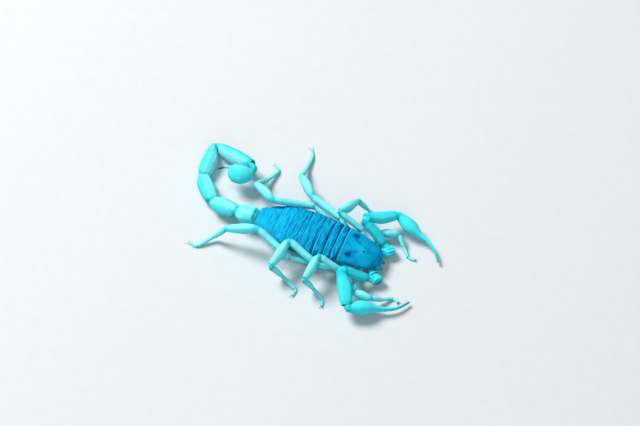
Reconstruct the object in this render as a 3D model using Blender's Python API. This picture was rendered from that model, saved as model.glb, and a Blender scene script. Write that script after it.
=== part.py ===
"""Desert scorpion, life size, standing on its eight feet with its tail laid in a low curl.

The head points along -Y, the animal's left side is +X and the floor is Z = 0. Sizes are in
millimetres and are turned to metres by MM; angles are in degrees. Every limb is a chain of
segments: a heading of 0 is straight ahead, 90 is straight out to the limb's own side and 180 is
straight back, and a slope is how far the segment rises.
"""
import math

import bmesh
import bpy
from mathutils import Quaternion, Vector

MM = 0.001
UP = Vector((0.0, 0.0, 1.0))
BACK = Vector((0.0, 1.0, 0.0))
SIDES = {"left": 1, "right": -1}
# The floor point under the middle of the carapace's rear edge, in the part's own frame.
CARAPACE_REAR = (-4.736, -9.074, 0.0)

# ---------------------------------------------------------------- trunk
# y, half width, crest height, side-edge height and belly height along the trunk
TRUNK_PROFILE = (
    (-8.3, 1.85, 3.00, 2.65, 2.45),
    (-8.0, 2.40, 3.30, 2.70, 2.40),
    (-7.3, 2.80, 3.65, 2.80, 2.25),
    (-6.2, 3.20, 4.00, 3.00, 2.05),
    (-4.6, 3.60, 4.45, 3.30, 1.95),
    (-2.5, 4.05, 4.95, 3.70, 2.00),
    (0.0, 4.40, 5.35, 4.05, 2.10),
    (3.2, 4.80, 5.60, 4.15, 2.15),
    (5.4, 5.05, 5.75, 4.20, 2.00),
    (8.4, 5.25, 5.80, 4.20, 1.60),
    (11.7, 5.15, 5.75, 4.15, 1.50),
    (14.8, 4.60, 5.50, 4.05, 1.60),
    (17.6, 3.50, 5.20, 3.90, 1.85),
    (19.6, 2.20, 4.90, 3.70, 2.40),
)
# the middle line of the trunk, a little to the left of the line between the hips
TRUNK_MIDDLE = 0.2
TERGITE_EDGES = (0.0, 1.5, 3.2, 5.4, 8.4, 11.7, 14.8, 19.6)
TERGITE_STEP = 0.16
TERGITE_STATIONS = (0.0, 0.3, 0.88, 1.0)
PLATE_GAP = 0.08
# 1 gives an oval section, less gives a boxier one
TRUNK_SQUARENESS = 0.85
TRUNK_SIDES = 20
CARAPACE_SIDES = 24
CARAPACE_STATIONS = (-8.3, -8.0, -7.3, -6.2, -5.1, -4.4, -3.7, -2.5, -0.5, -0.04)
TUBERCLE_AT = (0.2, -4.4)
TUBERCLE_HEIGHT = 0.25
TUBERCLE_SPREAD = (1.0, 1.2)

EYE_RADIUS = 0.26
EYE_AT = (0.42, -4.4, 4.60)
EYE_SOCKET_GAP = 0.04

CHELICERA_BASE = (0.78, -6.3, 1.55)
CHELICERA_LENGTH = 2.7
CHELICERA_SLOPE = -4
CHELICERA_SHAPE = (
    (0.0, 0.55, 0.45), (0.15, 0.66, 0.52), (0.6, 0.68, 0.55), (0.8, 0.55, 0.45), (1.0, 0.26, 0.22))

STERNUM_FRONT = -1.0
STERNUM_REAR = 2.0
STERNUM_HALF_WIDTH = 0.75
STERNUM_HEIGHT = 1.35
# place along, share of the half width, half depth
STERNUM_SHAPE = (
    (0.0, 0.30, 0.30), (0.15, 0.80, 0.38), (0.5, 1.00, 0.40), (0.85, 0.90, 0.38), (1.0, 0.50, 0.30))
STERNUM_SQUARENESS = 0.7

PECTEN_ROOT = (1.3, 2.85, 1.2)
PECTEN_LENGTH = 4.9
PECTEN_HEADING = 141
PECTEN_THICKNESS = 0.5
PECTEN_SPINE_WIDTH = 0.5
PECTEN_TEETH = 18
PECTEN_TOOTH_LENGTH = 0.75

# ---------------------------------------------------------------- legs
LEG_SIDES = 8
# coxa root and coxa end on the underside, and the hip where the femur starts
COXAE = {
    1: ((0.75, -5.2, 1.25), (1.95, -4.75, 1.28)),
    2: ((0.80, -4.0, 1.25), (4.0, -2.75, 1.9)),
    3: ((0.90, -2.7, 1.25), (4.7, 0.9, 2.2)),
    4: ((1.10, -1.2, 1.25), (5.0, 5.0, 2.2)),
}
HIPS = {
    ("left", 1): (2.60, -4.40, 1.30),
    ("right", 1): (4.9, -4.9, 1.5),
    ("left", 2): (5.5, -2.3, 2.8),
    ("right", 2): (5.5, -2.3, 2.8),
    ("left", 3): (6.3, 2.9, 3.3),
    ("right", 3): (6.3, 2.9, 3.3),
    ("left", 4): (7.15, 9.0, 3.75),
    ("right", 4): (6.9, 9.0, 3.4),
}
# femur, patella, tibia, basitarsus and tarsus
LEG_LENGTHS = {
    1: (4.6, 3.8, 2.7, 2.8, 1.9),
    2: (6.6, 5.6, 3.75, 3.5, 2.0),
    3: (8.4, 6.35, 4.3, 4.4, 2.1),
    4: (9.7, 7.2, 4.3, 4.3, 2.25),
}
LEG_THICKNESS = {1: 0.88, 2: 0.95, 3: 1.0, 4: 1.0}
# (heading, slope) of femur, patella and tibia, then the headings of basitarsus and tarsus
LEG_POSES = {
    ("left", 1): ((75, 8), (14, 6), (-42, -32), -46, 2),
    ("right", 1): ((79, 16), (-1, -2), (-35, -32), -43, 25),
    ("left", 2): ((172, 30), (67, -16), (36, -61), -11, -8),
    ("right", 2): ((176, 30), (100, -14), (-32, -67), 25, 80),
    ("left", 3): ((161, 6), (134, -7), (97, -33), 91, 122),
    ("right", 3): ((190, 23), (104, -16), (-25, -62), 22, 99),
    ("left", 4): ((201, 15), (144, -20), (73, -34), 74, 149),
    ("right", 4): ((194, 22), (172, -20), (162, -49), 131, 193),
}
# heights of the tarsus's middle line, low enough for its underside to end in a small flat sole
ANKLE_HEIGHT = 0.25
TOE_HEIGHT = 0.21
# A joint's two ends stand this far from its middle, and lean to the outside of its bend.
JOINT_GAP = 0.13
JOINT_HALF_SIZE = (0.30, 0.34)
KNEE_LEAN = 0.30
LEAN_SPAN = 0.4
# place along the segment, then half width and half depth
FEMUR_SHAPE = ((0.07, 0.56, 0.68), (0.45, 0.66, 0.80), (0.88, 0.62, 0.74), (0.95, 0.50, 0.58))
PATELLA_SHAPE = (
    (0.06, 0.50, 0.62), (0.15, 0.68, 0.92), (0.45, 0.78, 1.10), (0.82, 0.64, 0.88), (0.94, 0.48, 0.58))
TIBIA_SHAPE = ((0.09, 0.42, 0.46), (0.30, 0.52, 0.62), (0.85, 0.46, 0.52))
BASITARSUS_SHAPE = ((0.03, 0.38, 0.42), (0.5, 0.38, 0.41), (0.92, 0.34, 0.37))
TARSUS_SHAPE = ((0.12, 0.31, 0.31), (0.78, 0.31, 0.31))
TARSUS_SQUARENESS = 0.55
CLAW_SHAPE = ((0.82, 0.38, 0.16), (1.12, 0.30, 0.12))
COXA_SHAPE = ((0.0, 0.38, 0.45), (0.35, 0.54, 0.45), (0.9, 0.74, 0.50))
TROCHANTER_HALF_SIZE = (0.66, 0.66)

# ---------------------------------------------------------------- pedipalps
PEDIPALP_SIDES = 10
# from the coxa's root to the middle of the trochanter's bulb, and on past it
TROCHANTER_SHAPE = (
    (0.0, 0.55, 0.50), (0.25, 0.85, 0.65), (0.6, 1.12, 0.98), (0.92, 1.22, 1.08),
    (1.18, 1.06, 0.95), (1.36, 0.62, 0.55))
PEDIPALP_COXA = (2.05, -6.6, 1.55)
PEDIPALP_TROCHANTER = (3.75, -8.70, 1.50)
PEDIPALP_SHOULDER = (4.4, -7.5, 1.9)
PEDIPALP_LENGTHS = {"femur": 6.85, "patella": 7.55, "palm": 6.25, "finger": 7.2}
PEDIPALP_POSES = {
    "left": {"femur": (155, 34), "patella": (41, -17), "palm": (-19, -15), "finger": (-38, -6)},
    "right": {"femur": (153, 33), "patella": (60, -17), "palm": (-27, -15), "finger": (-39, -7)},
}
PEDIPALP_FEMUR_SHAPE = ((0.12, 0.98, 0.92), (0.5, 1.22, 1.08), (0.84, 1.12, 1.02), (0.92, 0.88, 0.84))
PEDIPALP_PATELLA_SHAPE = (
    (0.09, 0.82, 0.85), (0.18, 1.10, 1.04), (0.45, 1.42, 1.25), (0.80, 1.23, 1.10), (0.92, 0.90, 0.84))
# place along the palm, half width, then depth above and below the middle line
PALM_SHAPE = (
    (0.07, 0.80, 0.76, 0.76), (0.18, 1.10, 1.02, 0.98), (0.42, 1.45, 1.32, 1.30),
    (0.66, 1.30, 1.22, 1.12), (0.86, 0.86, 0.90, 0.45), (1.00, 0.55, 0.74, 0.02))
PEDIPALP_JOINT_HALF_SIZE = (0.55, 0.55)
ELBOW_LEAN = 0.62
WRIST_LEAN = 0.4
FINGER_BOW = 0.9
FINGER_STATIONS = (0.22, 0.45, 0.68, 0.86, 1.0)
FINGER_BASE_HALF = (0.46, 0.34)
FINGER_TIP_HALF = (0.18, 0.16)
FIXED_FINGER_RISE = 0.36
MOVABLE_FINGER_DROP = 0.42

# ---------------------------------------------------------------- tail
TAIL_SIDES = 12
TAIL_ROOT = (0.2, 19.68, 3.65)
# length, heading, slope, roll of the top towards the curl's inside, half width, half depth
METASOMA = (
    (4.6, 183, -5, 15, 1.95, 1.65),
    (6.6, 170, -11, 45, 1.80, 1.62),
    (7.35, 132, -3, 72, 1.70, 1.62),
    (8.4, 93, 0, 85, 1.66, 1.58),
    (11.0, -20, 17, 85, 1.55, 1.42),
)
# how far from each end the top side is cut back so that the next segment can fold in
FOLD_ROOM = ((0.3, 0.3), (0.3, 0.4), (0.4, 0.4), (0.4, 2.8), (2.8, 1.6))
SEGMENT_GAP = 0.09
# place along a segment and share of its half width and depth
BARREL_SHAPE = ((0.0, 0.62), (0.07, 0.80), (0.22, 0.94), (0.62, 1.0), (0.88, 0.97), (1.0, 0.78))
BARREL_SQUARENESS = 0.8
MITRE_LIMIT = math.radians(24)
TELSON_STEP = (0.80, 1.90, 0.75)
TELSON_HEADING = 187
TELSON_SLOPE = -2
TELSON_ROLL = 78
VESICLE_LENGTH = 5.45
# place along, half width, depth of the top side, depth of the underside
VESICLE_SHAPE = (
    (0.00, 0.55, 0.45, 0.55), (0.08, 0.85, 0.52, 1.25), (0.26, 1.50, 0.58, 2.30), (0.50, 1.85, 0.60, 3.05),
    (0.72, 1.75, 0.58, 2.95), (0.88, 1.28, 0.52, 2.10), (0.97, 0.72, 0.46, 1.00), (1.02, 0.45, 0.42, 0.42))
ACULEUS_LENGTH = 2.9
ACULEUS_DROP = 1.2
ACULEUS_SHAPE = ((0.03, 0.40), (0.3, 0.32), (0.65, 0.25), (1.0, 0.15))

FINISHES = {
    # colour, roughness
    "plate": ((0.02, 0.33, 0.55, 1.0), 0.55),
    "limb": ((0.12, 0.78, 0.80, 1.0), 0.45),
    "eye": ((0.01, 0.02, 0.04, 1.0), 0.12),
    "sting": ((0.03, 0.10, 0.14, 1.0), 0.30),
}


def start_clean():
    """Empty the scene and make the collections for the parts and the cutters."""
    for obj in list(bpy.data.objects):
        bpy.data.objects.remove(obj, do_unlink=True)
    collections = []
    for name in ("scorpion", "scorpion_cutters"):
        collection = bpy.data.collections.new(name)
        bpy.context.scene.collection.children.link(collection)
        collections.append(collection)
    return collections


def finish_for(node, kind):
    """The node's own Principled material in one of the named finishes."""
    colour, roughness = FINISHES[kind]
    material = bpy.data.materials.new(node + "_finish")
    material.use_nodes = True
    shader = material.node_tree.nodes["Principled BSDF"]
    shader.inputs["Base Color"].default_value = colour
    shader.inputs["Roughness"].default_value = roughness
    shader.inputs["Metallic"].default_value = 0.0
    return material


def mirrored(point, side):
    """A point given for the left side, moved to the named side."""
    x, y, z = point
    return Vector((SIDES[side] * x, y, z))


def pointing(heading, slope, side="left"):
    """Unit vector of a heading and slope on the named side."""
    turn, rise = math.radians(heading), math.radians(slope)
    flat = math.cos(rise)
    return Vector((SIDES[side] * math.sin(turn) * flat, -math.cos(turn) * flat, math.sin(rise)))


def lerp(low, high, share):
    return low + (high - low) * share


def between(table, key):
    """Row of a table at a key that lies between two of its rows, without the key column."""
    for low, high in zip(table, table[1:]):
        if key <= high[0]:
            break
    share = min(max((key - low[0]) / (high[0] - low[0]), 0.0), 1.0)
    return [lerp(a, b, share) for a, b in zip(low[1:], high[1:])]


class Ring:
    """One cross-section: an oval round a centre, with its own depth above and below."""

    def __init__(self, centre, forward, up_hint, half_width, top, bottom=None, squareness=1.0):
        self.centre = centre
        self.across = up_hint.cross(forward).normalized()
        self.up = forward.cross(self.across).normalized()
        self.half_width = half_width
        self.top = top
        self.bottom = top if bottom is None else bottom
        self.squareness = squareness

    def point(self, angle):
        across = math.copysign(abs(math.cos(angle)) ** self.squareness, math.cos(angle))
        rise = math.copysign(abs(math.sin(angle)) ** self.squareness, math.sin(angle))
        depth = self.top if rise > 0 else self.bottom
        return self.centre + self.across * (across * self.half_width) + self.up * (rise * depth)


def add_part(node, bm, kind):
    """Make the node's object from the mesh and stand it on the stance."""
    bmesh.ops.scale(bm, vec=Vector((MM, MM, MM)), verts=bm.verts)
    mesh = bpy.data.meshes.new(node)
    bm.to_mesh(mesh)
    bm.free()
    mesh.shade_smooth()
    mesh.set_sharp_from_angle(angle=math.radians(50))
    mesh.materials.append(finish_for(node, kind))
    obj = bpy.data.objects.new(node, mesh)
    PARTS.objects.link(obj)
    obj.parent = STANCE
    return obj


def ringed_body(rings, sides):
    """A closed cylinder primitive whose rings are moved to the given cross-sections."""
    bm = bmesh.new()
    last = len(rings) - 1
    bmesh.ops.create_cone(bm, cap_ends=True, segments=sides, radius1=1.0, radius2=1.0, depth=last)
    long_edges = [edge for edge in bm.edges if abs(edge.verts[0].co.z - edge.verts[1].co.z) > 0.5]
    if last > 1:
        bmesh.ops.subdivide_edges(bm, edges=long_edges, cuts=last - 1)
    for vertex in bm.verts:
        ring = rings[round(vertex.co.z + last / 2)]
        vertex.co = ring.point(math.atan2(vertex.co.y, vertex.co.x))
    return bm


def settle(bm):
    """Flatten what would reach under the floor, so that it rests on one level."""
    for vertex in bm.verts:
        vertex.co.z = max(vertex.co.z, 0.0)


def jointed(shape, length, first=None, last=None):
    """The rows of a segment's shape with the small end of a joint before and after them."""
    gap = JOINT_GAP / length
    head = ((gap, *first),) if first else ()
    tail = ((1 - gap, *last),) if last else ()
    return head + tuple(shape) + tail


def segment_rings(start, end, shape, up_hint, scale=1.0, leans=None, squareness=1.0):
    """Rings along a straight segment from rows of (place, half width, depth, lower depth).

    The leans move the rings near the start and near the end sideways, to the outside of a bend.
    """
    forward = (end - start).normalized()
    lean_in, lean_out = leans or (Vector(), Vector())
    rings = []
    for place, half_width, *depths in shape:
        top, bottom = depths[0], depths[-1]
        centre = start.lerp(end, place)
        centre += lean_in * max(1 - place / LEAN_SPAN, 0) + lean_out * max(1 - (1 - place) / LEAN_SPAN, 0)
        sizes = [size * scale for size in (half_width, top, bottom)]
        rings.append(Ring(centre, forward, up_hint, *sizes, squareness))
    return rings


def bend_leans(before, joint, after, amount):
    """How far the end before a joint and the start after it lean to the outside of its bend."""
    come, leave = (joint - before).normalized(), (after - joint).normalized()
    amount *= min(come.angle(leave) / math.radians(90), 1.0)
    return (
        (come * come.dot(leave) - leave).normalized() * amount,
        (come - leave * come.dot(leave)).normalized() * amount)


# ---------------------------------------------------------------- trunk pieces
def trunk_ring(y, lift=0.0):
    """Cross-section of the trunk at a place along it, its top raised by lift."""
    half_width, crest, edge, belly = between(TRUNK_PROFILE, y)
    centre = Vector((TRUNK_MIDDLE, y, edge))
    return Ring(centre, BACK, UP, half_width, crest - edge + lift, edge - belly, TRUNK_SQUARENESS)


def eye_centre(side):
    """Middle of a median eye, on its own side of the mound."""
    return mirrored(EYE_AT, side) + Vector((TRUNK_MIDDLE, 0.0, 0.0))


def add_carapace():
    """Shield over the head and legs, with a low mound for the median eyes."""
    bm = ringed_body([trunk_ring(y) for y in CARAPACE_STATIONS], CARAPACE_SIDES)
    for vertex in bm.verts:
        away_x = (vertex.co.x - TUBERCLE_AT[0]) / TUBERCLE_SPREAD[0]
        away_y = (vertex.co.y - TUBERCLE_AT[1]) / TUBERCLE_SPREAD[1]
        if vertex.co.z > 4.0:
            vertex.co.z += TUBERCLE_HEIGHT * math.exp(-(away_x ** 2 + away_y ** 2))
    carapace = add_part("carapace", bm, "plate")
    for side in SIDES:
        cutter = add_ball("eye_socket_" + side, eye_centre(side), EYE_RADIUS + EYE_SOCKET_GAP, "plate")
        PARTS.objects.unlink(cutter)
        CUTTERS.objects.link(cutter)
        cutter.hide_render = True
        cutter.display_type = "WIRE"
        cut = carapace.modifiers.new("socket_" + side, "BOOLEAN")
        cut.operation = "DIFFERENCE"
        cut.object = cutter
    return carapace


def add_ball(node, centre, radius, kind):
    bm = bmesh.new()
    bmesh.ops.create_uvsphere(bm, u_segments=10, v_segments=6, radius=radius)
    bmesh.ops.translate(bm, vec=centre, verts=bm.verts)
    return add_part(node, bm, kind)


def add_tergites():
    """The seven plates of the mid-body, each rising to its rear edge over the next."""
    for index, (front, rear) in enumerate(zip(TERGITE_EDGES, TERGITE_EDGES[1:])):
        start, end = front + PLATE_GAP / 2, rear - PLATE_GAP / 2
        rings = [
            trunk_ring(lerp(start, end, place), TERGITE_STEP * (place - 1)) for place in TERGITE_STATIONS]
        add_part(f"mesosoma_{index + 1}", ringed_body(rings, TRUNK_SIDES), "plate")


def add_chelicera(side):
    """Short stout jaw in front, under the carapace's edge."""
    base = mirrored(CHELICERA_BASE, side)
    tip = base + pointing(0, CHELICERA_SLOPE, side) * CHELICERA_LENGTH
    rings = segment_rings(base, tip, CHELICERA_SHAPE, UP)
    add_part("chelicera_" + side, ringed_body(rings, LEG_SIDES), "limb")


def add_sternum():
    """Small plate between the coxae that also covers the genital opening."""
    rings = []
    for place, width, depth in STERNUM_SHAPE:
        centre = Vector((0.0, lerp(STERNUM_FRONT, STERNUM_REAR, place), STERNUM_HEIGHT))
        half_width = width * STERNUM_HALF_WIDTH
        rings.append(Ring(centre, BACK, UP, half_width, depth, depth, STERNUM_SQUARENESS))
    add_part("sternum", ringed_body(rings, TAIL_SIDES), "plate")


def add_pecten(side):
    """Comb-shaped feeler of the underside: a flat spine with a row of blunt teeth behind it."""
    outline = [(0.0, 0.0), (PECTEN_LENGTH * 0.96, 0.0), (PECTEN_LENGTH, PECTEN_SPINE_WIDTH * 0.4)]
    pitch = PECTEN_LENGTH / (PECTEN_TEETH + 0.5)
    for tooth in reversed(range(PECTEN_TEETH)):
        start = pitch * (tooth + 0.35)
        taper = 1.0 - 0.45 * (tooth / PECTEN_TEETH) ** 2
        reach = PECTEN_SPINE_WIDTH + PECTEN_TOOTH_LENGTH * taper
        outline.append((start + pitch * 0.78, PECTEN_SPINE_WIDTH))
        outline.append((start + pitch * 0.62, reach))
        outline.append((start + pitch * 0.16, reach))
        outline.append((start, PECTEN_SPINE_WIDTH))
    outline.append((0.0, PECTEN_SPINE_WIDTH))
    curve = bpy.data.curves.new("pecten_outline_" + side, "CURVE")
    curve.dimensions = "2D"
    curve.fill_mode = "BOTH"
    curve.extrude = PECTEN_THICKNESS / 2
    spline = curve.splines.new("POLY")
    spline.points.add(len(outline) - 1)
    for point, (along, behind) in zip(spline.points, outline):
        point.co = (along, behind, 0.0, 1.0)
    spline.use_cyclic_u = True
    flat = bpy.data.objects.new("pecten_outline_" + side, curve)
    PARTS.objects.link(flat)
    mesh = bpy.data.meshes.new_from_object(flat.evaluated_get(bpy.context.evaluated_depsgraph_get()))
    bpy.data.objects.remove(flat, do_unlink=True)
    bm = bmesh.new()
    bm.from_mesh(mesh)
    bpy.data.meshes.remove(mesh)
    bmesh.ops.remove_doubles(bm, verts=bm.verts, dist=0.001)
    root = mirrored(PECTEN_ROOT, side)
    forward = pointing(PECTEN_HEADING, 0, side)
    behind = Vector((-forward.y, forward.x, 0.0)) * SIDES[side]
    for vertex in bm.verts:
        along, back, rise = vertex.co
        vertex.co = root + forward * along + behind * back + UP * rise
    bmesh.ops.recalc_face_normals(bm, faces=bm.faces)
    add_part("pecten_" + side, bm, "limb")


# ---------------------------------------------------------------- limbs
def leg_joints(side, pair):
    """Hip, knee, patella end, tibia end, ankle and toe of one leg."""
    lengths = LEG_LENGTHS[pair]
    pose = LEG_POSES[side, pair]
    joints = [mirrored(HIPS[side, pair], side)]
    for length, (heading, slope) in zip(lengths, pose[:3]):
        joints.append(joints[-1] + pointing(heading, slope, side) * length)
    for length, heading, height in zip(lengths[3:], pose[3:], (ANKLE_HEIGHT, TOE_HEIGHT)):
        slope = math.degrees(math.asin((height - joints[-1].z) / length))
        joints.append(joints[-1] + pointing(heading, slope, side) * length)
    return joints


def add_leg(side, pair):
    """Upper leg with its coxa, patella, and the slender foot down to the claws."""
    scale = LEG_THICKNESS[pair]
    hip, knee, patella_end, tibia_end, ankle, toe = leg_joints(side, pair)
    femur_length, patella_length, tibia_length = LEG_LENGTHS[pair][:3]
    knee_leans = bend_leans(hip, knee, patella_end, KNEE_LEAN)
    shin_leans = bend_leans(knee, patella_end, tibia_end, KNEE_LEAN)
    root, coxa_end = (mirrored(point, side) for point in COXAE[pair])
    name = f"{side}_leg_{pair}_"
    rings = segment_rings(root, coxa_end, COXA_SHAPE, UP)
    middle = coxa_end.lerp(hip, 0.55)
    rings.append(Ring(middle, (hip - coxa_end).normalized(), UP, *TROCHANTER_HALF_SIZE))
    shape = jointed(FEMUR_SHAPE, femur_length, last=JOINT_HALF_SIZE)
    rings += segment_rings(hip, knee, shape, UP, scale, (Vector(), knee_leans[0]))
    add_part(name + "femur", ringed_body(rings, LEG_SIDES), "limb")
    shape = jointed(PATELLA_SHAPE, patella_length, JOINT_HALF_SIZE, JOINT_HALF_SIZE)
    rings = segment_rings(knee, patella_end, shape, UP, scale, (knee_leans[1], shin_leans[0]))
    add_part(name + "patella", ringed_body(rings, LEG_SIDES), "limb")
    shape = jointed(TIBIA_SHAPE, tibia_length, first=JOINT_HALF_SIZE)
    rings = segment_rings(patella_end, tibia_end, shape, UP, scale, (shin_leans[1], Vector()))
    rings += segment_rings(tibia_end, ankle, BASITARSUS_SHAPE, UP, scale)
    rings += segment_rings(ankle, toe, TARSUS_SHAPE, UP, squareness=TARSUS_SQUARENESS)
    rings += segment_rings(ankle, toe, CLAW_SHAPE, UP)
    foot = ringed_body(rings, LEG_SIDES)
    settle(foot)
    add_part(name + "foot", foot, "limb")


def finger_rings(start, forward, inward, offset, from_place=0.0):
    """Rings of one finger, bowed outwards and tapering to its tip."""
    rings = []
    length = PEDIPALP_LENGTHS["finger"]
    for place in (from_place,) + FINGER_STATIONS:
        bow = FINGER_BOW * math.sin(math.pi * place)
        centre = start + forward * (length * place) - inward * bow + UP * (offset * (1 - 0.55 * place))
        along = (forward - inward * (FINGER_BOW * math.pi * math.cos(math.pi * place) / length)).normalized()
        half_width = lerp(FINGER_BASE_HALF[0], FINGER_TIP_HALF[0], place)
        half_depth = lerp(FINGER_BASE_HALF[1], FINGER_TIP_HALF[1], place)
        rings.append(Ring(centre, along, UP, half_width, half_depth))
    return rings


def add_pedipalp(side):
    """Grasping limb: trochanter, femur, patella, palm with its fixed finger, and the movable finger."""
    pose = PEDIPALP_POSES[side]
    name = f"{side}_pedipalp_"
    coxa, trochanter, shoulder = (
        mirrored(point, side) for point in (PEDIPALP_COXA, PEDIPALP_TROCHANTER, PEDIPALP_SHOULDER))
    rings = segment_rings(coxa, trochanter, TROCHANTER_SHAPE, UP)
    add_part(name + "trochanter", ringed_body(rings, PEDIPALP_SIDES), "limb")
    elbow = shoulder + pointing(*pose["femur"], side) * PEDIPALP_LENGTHS["femur"]
    wrist = elbow + pointing(*pose["patella"], side) * PEDIPALP_LENGTHS["patella"]
    palm_end = wrist + pointing(*pose["palm"], side) * PEDIPALP_LENGTHS["palm"]
    elbow_leans = bend_leans(shoulder, elbow, wrist, ELBOW_LEAN)
    wrist_leans = bend_leans(elbow, wrist, palm_end, WRIST_LEAN)
    joint_size = PEDIPALP_JOINT_HALF_SIZE
    shape = jointed(PEDIPALP_FEMUR_SHAPE, PEDIPALP_LENGTHS["femur"], joint_size, joint_size)
    rings = segment_rings(shoulder, elbow, shape, UP, leans=(Vector(), elbow_leans[0]))
    add_part(name + "femur", ringed_body(rings, PEDIPALP_SIDES), "limb")
    shape = jointed(PEDIPALP_PATELLA_SHAPE, PEDIPALP_LENGTHS["patella"], joint_size, joint_size)
    rings = segment_rings(elbow, wrist, shape, UP, leans=(elbow_leans[1], wrist_leans[0]))
    add_part(name + "patella", ringed_body(rings, PEDIPALP_SIDES), "limb")
    forward = pointing(*pose["finger"], side)
    inward = (UP.cross(forward) * -SIDES[side]).normalized()
    shape = jointed(PALM_SHAPE, PEDIPALP_LENGTHS["palm"], (*joint_size, joint_size[1]))
    rings = segment_rings(wrist, palm_end, shape, UP, leans=(wrist_leans[1], Vector()))
    rings += finger_rings(palm_end, forward, inward, FIXED_FINGER_RISE)[1:]
    add_part(name + "palm", ringed_body(rings, PEDIPALP_SIDES), "limb")
    rings = finger_rings(palm_end, forward, inward, -MOVABLE_FINGER_DROP, 0.02)
    add_part(name + "movable_finger", ringed_body(rings, LEG_SIDES), "limb")


# ---------------------------------------------------------------- tail pieces
def tail_up(heading, roll):
    """Direction of a tail segment's top side, rolled from straight up towards the curl's inside."""
    inside = pointing(heading - 90, 0)
    return UP * math.cos(math.radians(roll)) + inside * math.sin(math.radians(roll))


def mitred(forward, towards):
    """An end face's normal, turned from the segment's own direction half way to its neighbour's."""
    bend = forward.angle(towards)
    turned = forward.copy()
    turned.rotate(Quaternion(forward.cross(towards), min(bend / 2, MITRE_LIMIT)))
    return turned


def metasoma_rings(start, end, up, half_width, half_depth, room, faces):
    """Barrel with a narrow neck at its front, its top cut back by the fold rooms at both ends."""
    length = (end - start).length
    forward = (end - start).normalized()
    rings = []
    for place, share in BARREL_SHAPE:
        away = lerp(SEGMENT_GAP, length - SEGMENT_GAP, place)
        front_room = min(away / room[0], 1.0)
        rear_room = min((length - away) / room[1], 1.0)
        top = half_depth * share * min(front_room, rear_room)
        centre = start + forward * away
        facing = {0.0: faces[0], 1.0: faces[1]}.get(place, forward)
        under = half_depth * share
        rings.append(Ring(centre, facing, up, half_width * share, top, under, BARREL_SQUARENESS))
    return rings


def add_tail():
    """Five tail segments, the venom bulb and the sting."""
    joint = Vector(TAIL_ROOT)
    directions = [pointing(heading, slope) for length, heading, slope, *rest in METASOMA]
    for index, (length, heading, slope, roll, half_width, half_depth) in enumerate(METASOMA):
        forward = directions[index]
        before = directions[max(index - 1, 0)]
        after = directions[min(index + 1, len(directions) - 1)]
        faces = (mitred(forward, before), mitred(forward, after))
        end = joint + forward * length
        up = tail_up(heading, roll)
        rings = metasoma_rings(joint, end, up, half_width, half_depth, FOLD_ROOM[index], faces)
        segment = ringed_body(rings, TAIL_SIDES)
        settle(segment)
        add_part(f"metasoma_{index + 1}", segment, "limb")
        joint = end
    add_telson(joint, forward)


def add_telson(joint, forward):
    """Venom bulb folded back along the last segment, and the curved sting at its end."""
    step_up, step_on, step_down = TELSON_STEP
    last_up = tail_up(METASOMA[-1][1], METASOMA[-1][3])
    base = joint + last_up * step_up + forward * step_on - UP * step_down
    direction = pointing(TELSON_HEADING, TELSON_SLOPE)
    up = tail_up(TELSON_HEADING, TELSON_ROLL)
    tip = base + direction * VESICLE_LENGTH
    vesicle = ringed_body(segment_rings(base, tip, VESICLE_SHAPE, up), TAIL_SIDES)
    settle(vesicle)
    add_part("vesicle", vesicle, "limb")
    rings = []
    for place, radius in ACULEUS_SHAPE:
        centre = tip + direction * (ACULEUS_LENGTH * place) - up * (ACULEUS_DROP * place ** 2)
        along = (direction - up * (2 * ACULEUS_DROP * place / ACULEUS_LENGTH)).normalized()
        rings.append(Ring(centre, along, up, radius, radius))
    add_part("aculeus", ringed_body(rings, LEG_SIDES), "sting")


PARTS, CUTTERS = start_clean()
STANCE = bpy.data.objects.new("stance", None)
PARTS.objects.link(STANCE)
STANCE.location = Vector(CARAPACE_REAR) * MM

add_carapace()
add_tergites()
add_sternum()
for limb_side in SIDES:
    add_ball("median_eye_" + limb_side, eye_centre(limb_side), EYE_RADIUS, "eye")
    add_chelicera(limb_side)
    add_pecten(limb_side)
    add_pedipalp(limb_side)
    for leg_pair in LEG_LENGTHS:
        add_leg(limb_side, leg_pair)
add_tail()
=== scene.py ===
"""Desert scorpion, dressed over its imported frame: shell plates, limbs, tail, soft skin and bristles.

Every piece takes its place and size from the frame's solids. A limb solid is a row of rings of
corner points, so its rings give the middle line and the cross-sections that the finished piece
follows. Lengths are in metres and angles in degrees; the animal's left side is +X, its tail
points along +Y and it stands on Z = 0.
"""
import math
import random

import bmesh
import bpy
import numpy as np
from bpy.props import FloatProperty, FloatVectorProperty, IntProperty, PointerProperty
from mathutils import Matrix, Vector
from mathutils.bvhtree import BVHTree


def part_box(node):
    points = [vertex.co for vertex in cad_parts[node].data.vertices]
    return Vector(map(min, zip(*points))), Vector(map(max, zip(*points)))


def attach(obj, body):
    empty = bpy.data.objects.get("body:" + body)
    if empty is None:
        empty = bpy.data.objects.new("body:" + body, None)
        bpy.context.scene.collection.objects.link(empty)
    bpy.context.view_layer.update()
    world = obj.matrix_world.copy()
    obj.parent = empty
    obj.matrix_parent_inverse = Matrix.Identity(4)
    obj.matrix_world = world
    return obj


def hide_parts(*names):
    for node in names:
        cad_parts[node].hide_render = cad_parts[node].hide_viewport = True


bl_info = {
    "name": "Desert scorpion",
    "version": (1, 0, 0),
    "blender": (4, 5, 0),
    "location": "View3D > Sidebar > Scorpion",
    "description": "Dresses a packed desert scorpion with plates, limbs, skin and bristles",
    "category": "Object",
}

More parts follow.
